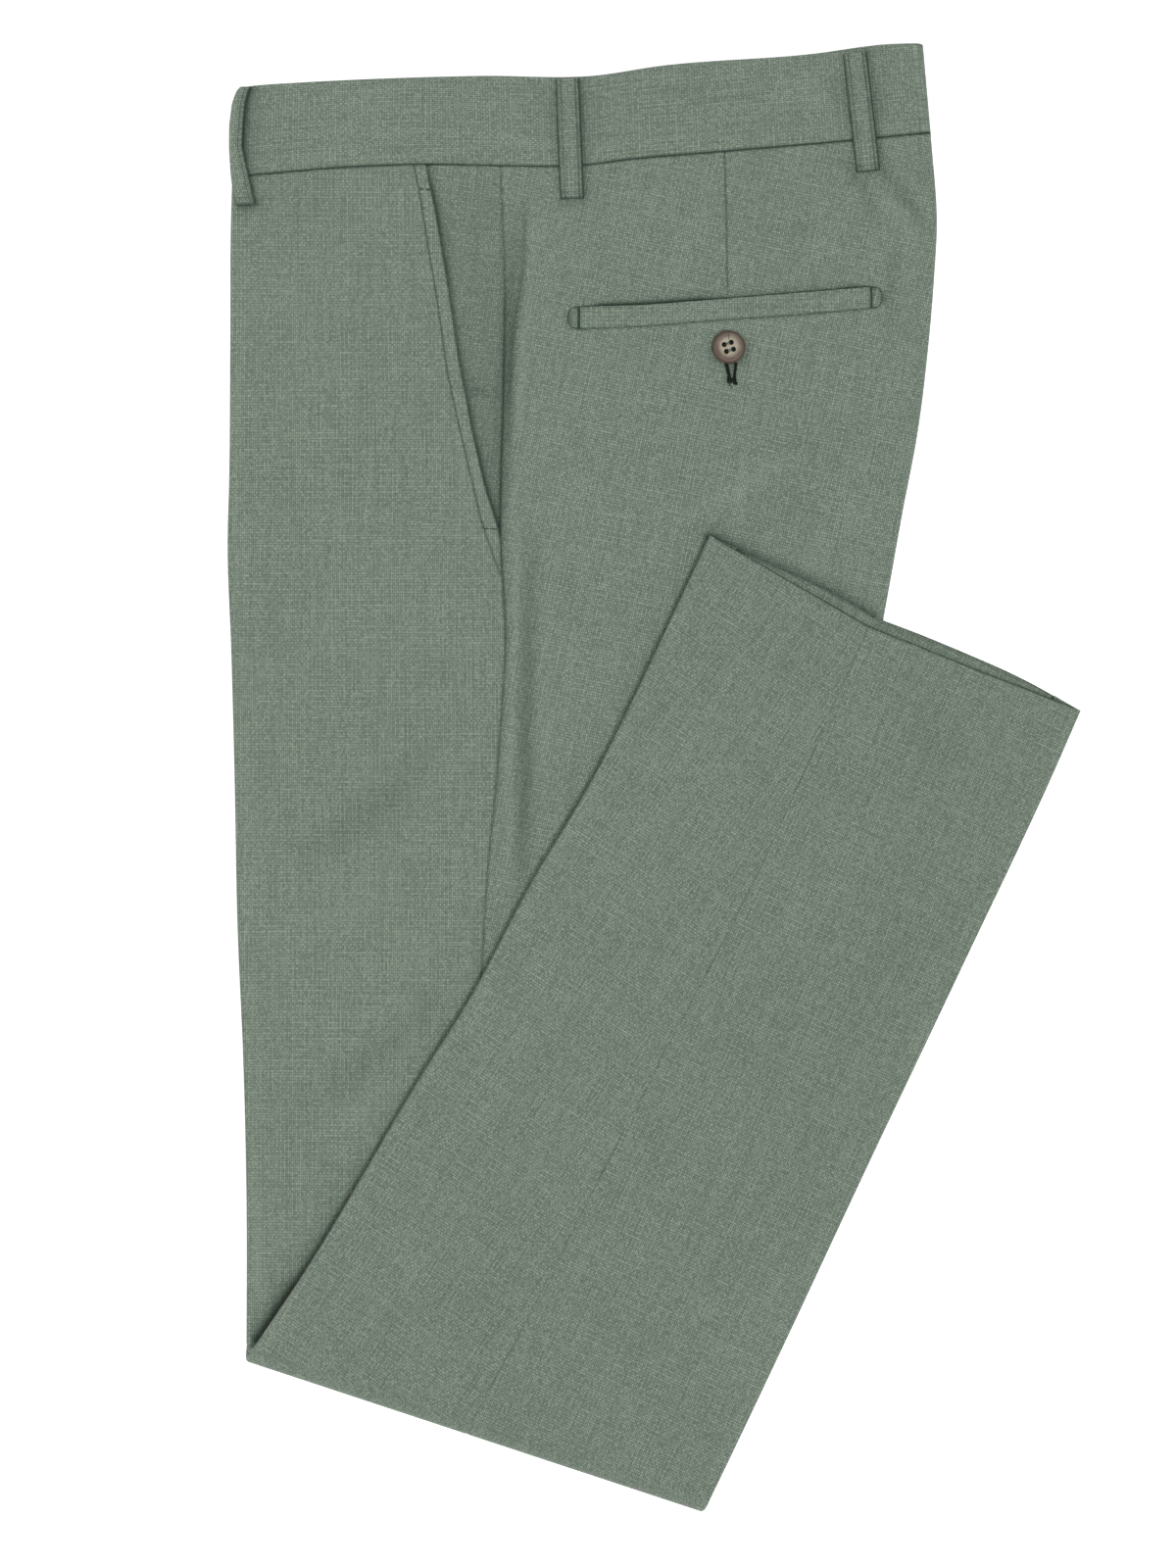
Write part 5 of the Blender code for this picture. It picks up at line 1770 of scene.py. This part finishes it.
BUTTON_THREAD_RADIUS, BUTTON_THREAD_STEPS = 0.24, 12
BUTTON_THREAD_TOP, BUTTON_THREAD_DIP = 2.2, 2.2  # above the button's base, and how far its ends go down
STRAND_PLACES = (-0.28, 0.28)


def add_button_thread():
    """Two strands of thread between the pairs of holes, dipping into each."""
    work = bmesh.new()
    places = [Vector((x, y, button_base() + BUTTON_THREAD_TOP)) for x, y in hole_places()]
    for first, second in (places[:2], places[2:]):
        along = second - first
        for strand in STRAND_PLACES:
            beside = Vector((-along.y, along.x, 0)).normalized() * strand
            centres = []
            for step in range(BUTTON_THREAD_STEPS + 1):
                share = step / BUTTON_THREAD_STEPS
                dip = Vector((0, 0, BUTTON_THREAD_DIP * abs(2 * share - 1) ** 4))
                centres.append((first + along * (0.24 + 0.52 * share) + beside - dip) * MM)
            sweep(work, centres, BUTTON_THREAD_RADIUS * MM)
    bmesh.ops.recalc_face_normals(work, faces=work.faces)
    mesh = mesh_from(work, "button_thread")
    mesh.shade_smooth()
    finish_piece("button_thread", mesh, BUTTON_THREAD)


def sweep(work, centres, radius, sides=8):
    """A round thread along the centres, closed at both ends."""
    rings = []
    for step, centre in enumerate(centres):
        ahead = centres[min(step + 1, len(centres) - 1)] - centres[max(step - 1, 0)]
        turn = ahead.to_track_quat("Z", "Y").to_matrix().to_4x4()
        place = Matrix.Translation(centre) @ turn
        ring = bmesh.ops.create_circle(work, segments=sides, radius=radius, matrix=place)
        rings.append(list({edge for vert in ring["verts"] for edge in vert.link_edges}))
    for first, second in zip(rings, rings[1:]):
        bmesh.ops.bridge_loops(work, edges=first + second)
    for end in (rings[0], rings[-1]):
        bmesh.ops.edgeloop_fill(work, edges=end)


# ---------------------------------------------------------------- the whole


LEAST_SHARE = 0.31  # of its box, the least share that a sheet's area is taken as


def declare(made, flat, area, rests_on):
    """Works out a cloth's area, bounded by its width and length laid flat; the result is not kept."""
    width, length = flat
    area = max(min(area, width * length), LEAST_SHARE * width * length)


FLOOR_HALF, FLOOR_DROP = 3.0, 0.2 * MM


def add_floor():
    work = bmesh.new()
    bmesh.ops.create_grid(work, x_segments=1, y_segments=1, size=FLOOR_HALF)
    bmesh.ops.translate(work, verts=work.verts, vec=(0, 0, -FLOOR_DROP))
    floor = bpy.data.objects.new("floor", mesh_from(work, "floor"))
    floor.data.materials.append(glowing_floor())
    bpy.context.collection.objects.link(floor)


def main():
    add_floor()
    fine = leg_rows(LOWER_UNDER, FINE_STEP, UNDER_LEG_STEP)
    shown = leg_rows(LOWER_TOP, UNDER_SIDE_STEP, FINE_STEP)
    declare(*add_front(True, LOWER_UNDER, fine), "folded_layers")
    declare(*add_front(False, LOWER_TOP, shown), "folded_layers")
    declare(*add_back(True, LOWER_UNDER, fine, True), "folded_layers")
    declare(*add_back(False, LOWER_TOP, shown, False), "folded_layers")
    declare(*add_facing(True), "folded_layers")
    declare(*add_facing(False), "folded_layers")
    declare(*add_inner_layers(), "right_back")
    for left in (True, False):
        declare(*add_band(left), "folded_layers")
        declare(*add_front_loop(left), "waistband_left" if left else "waistband_right")
        for loop in FLAT_LOOPS:
            declare(*add_flat_loop(left, loop), "waistband_left" if left else "waistband_right")
    declare(*add_welt(), "left_back")
    add_button()
    add_button_thread()
    add_sewing()


main()
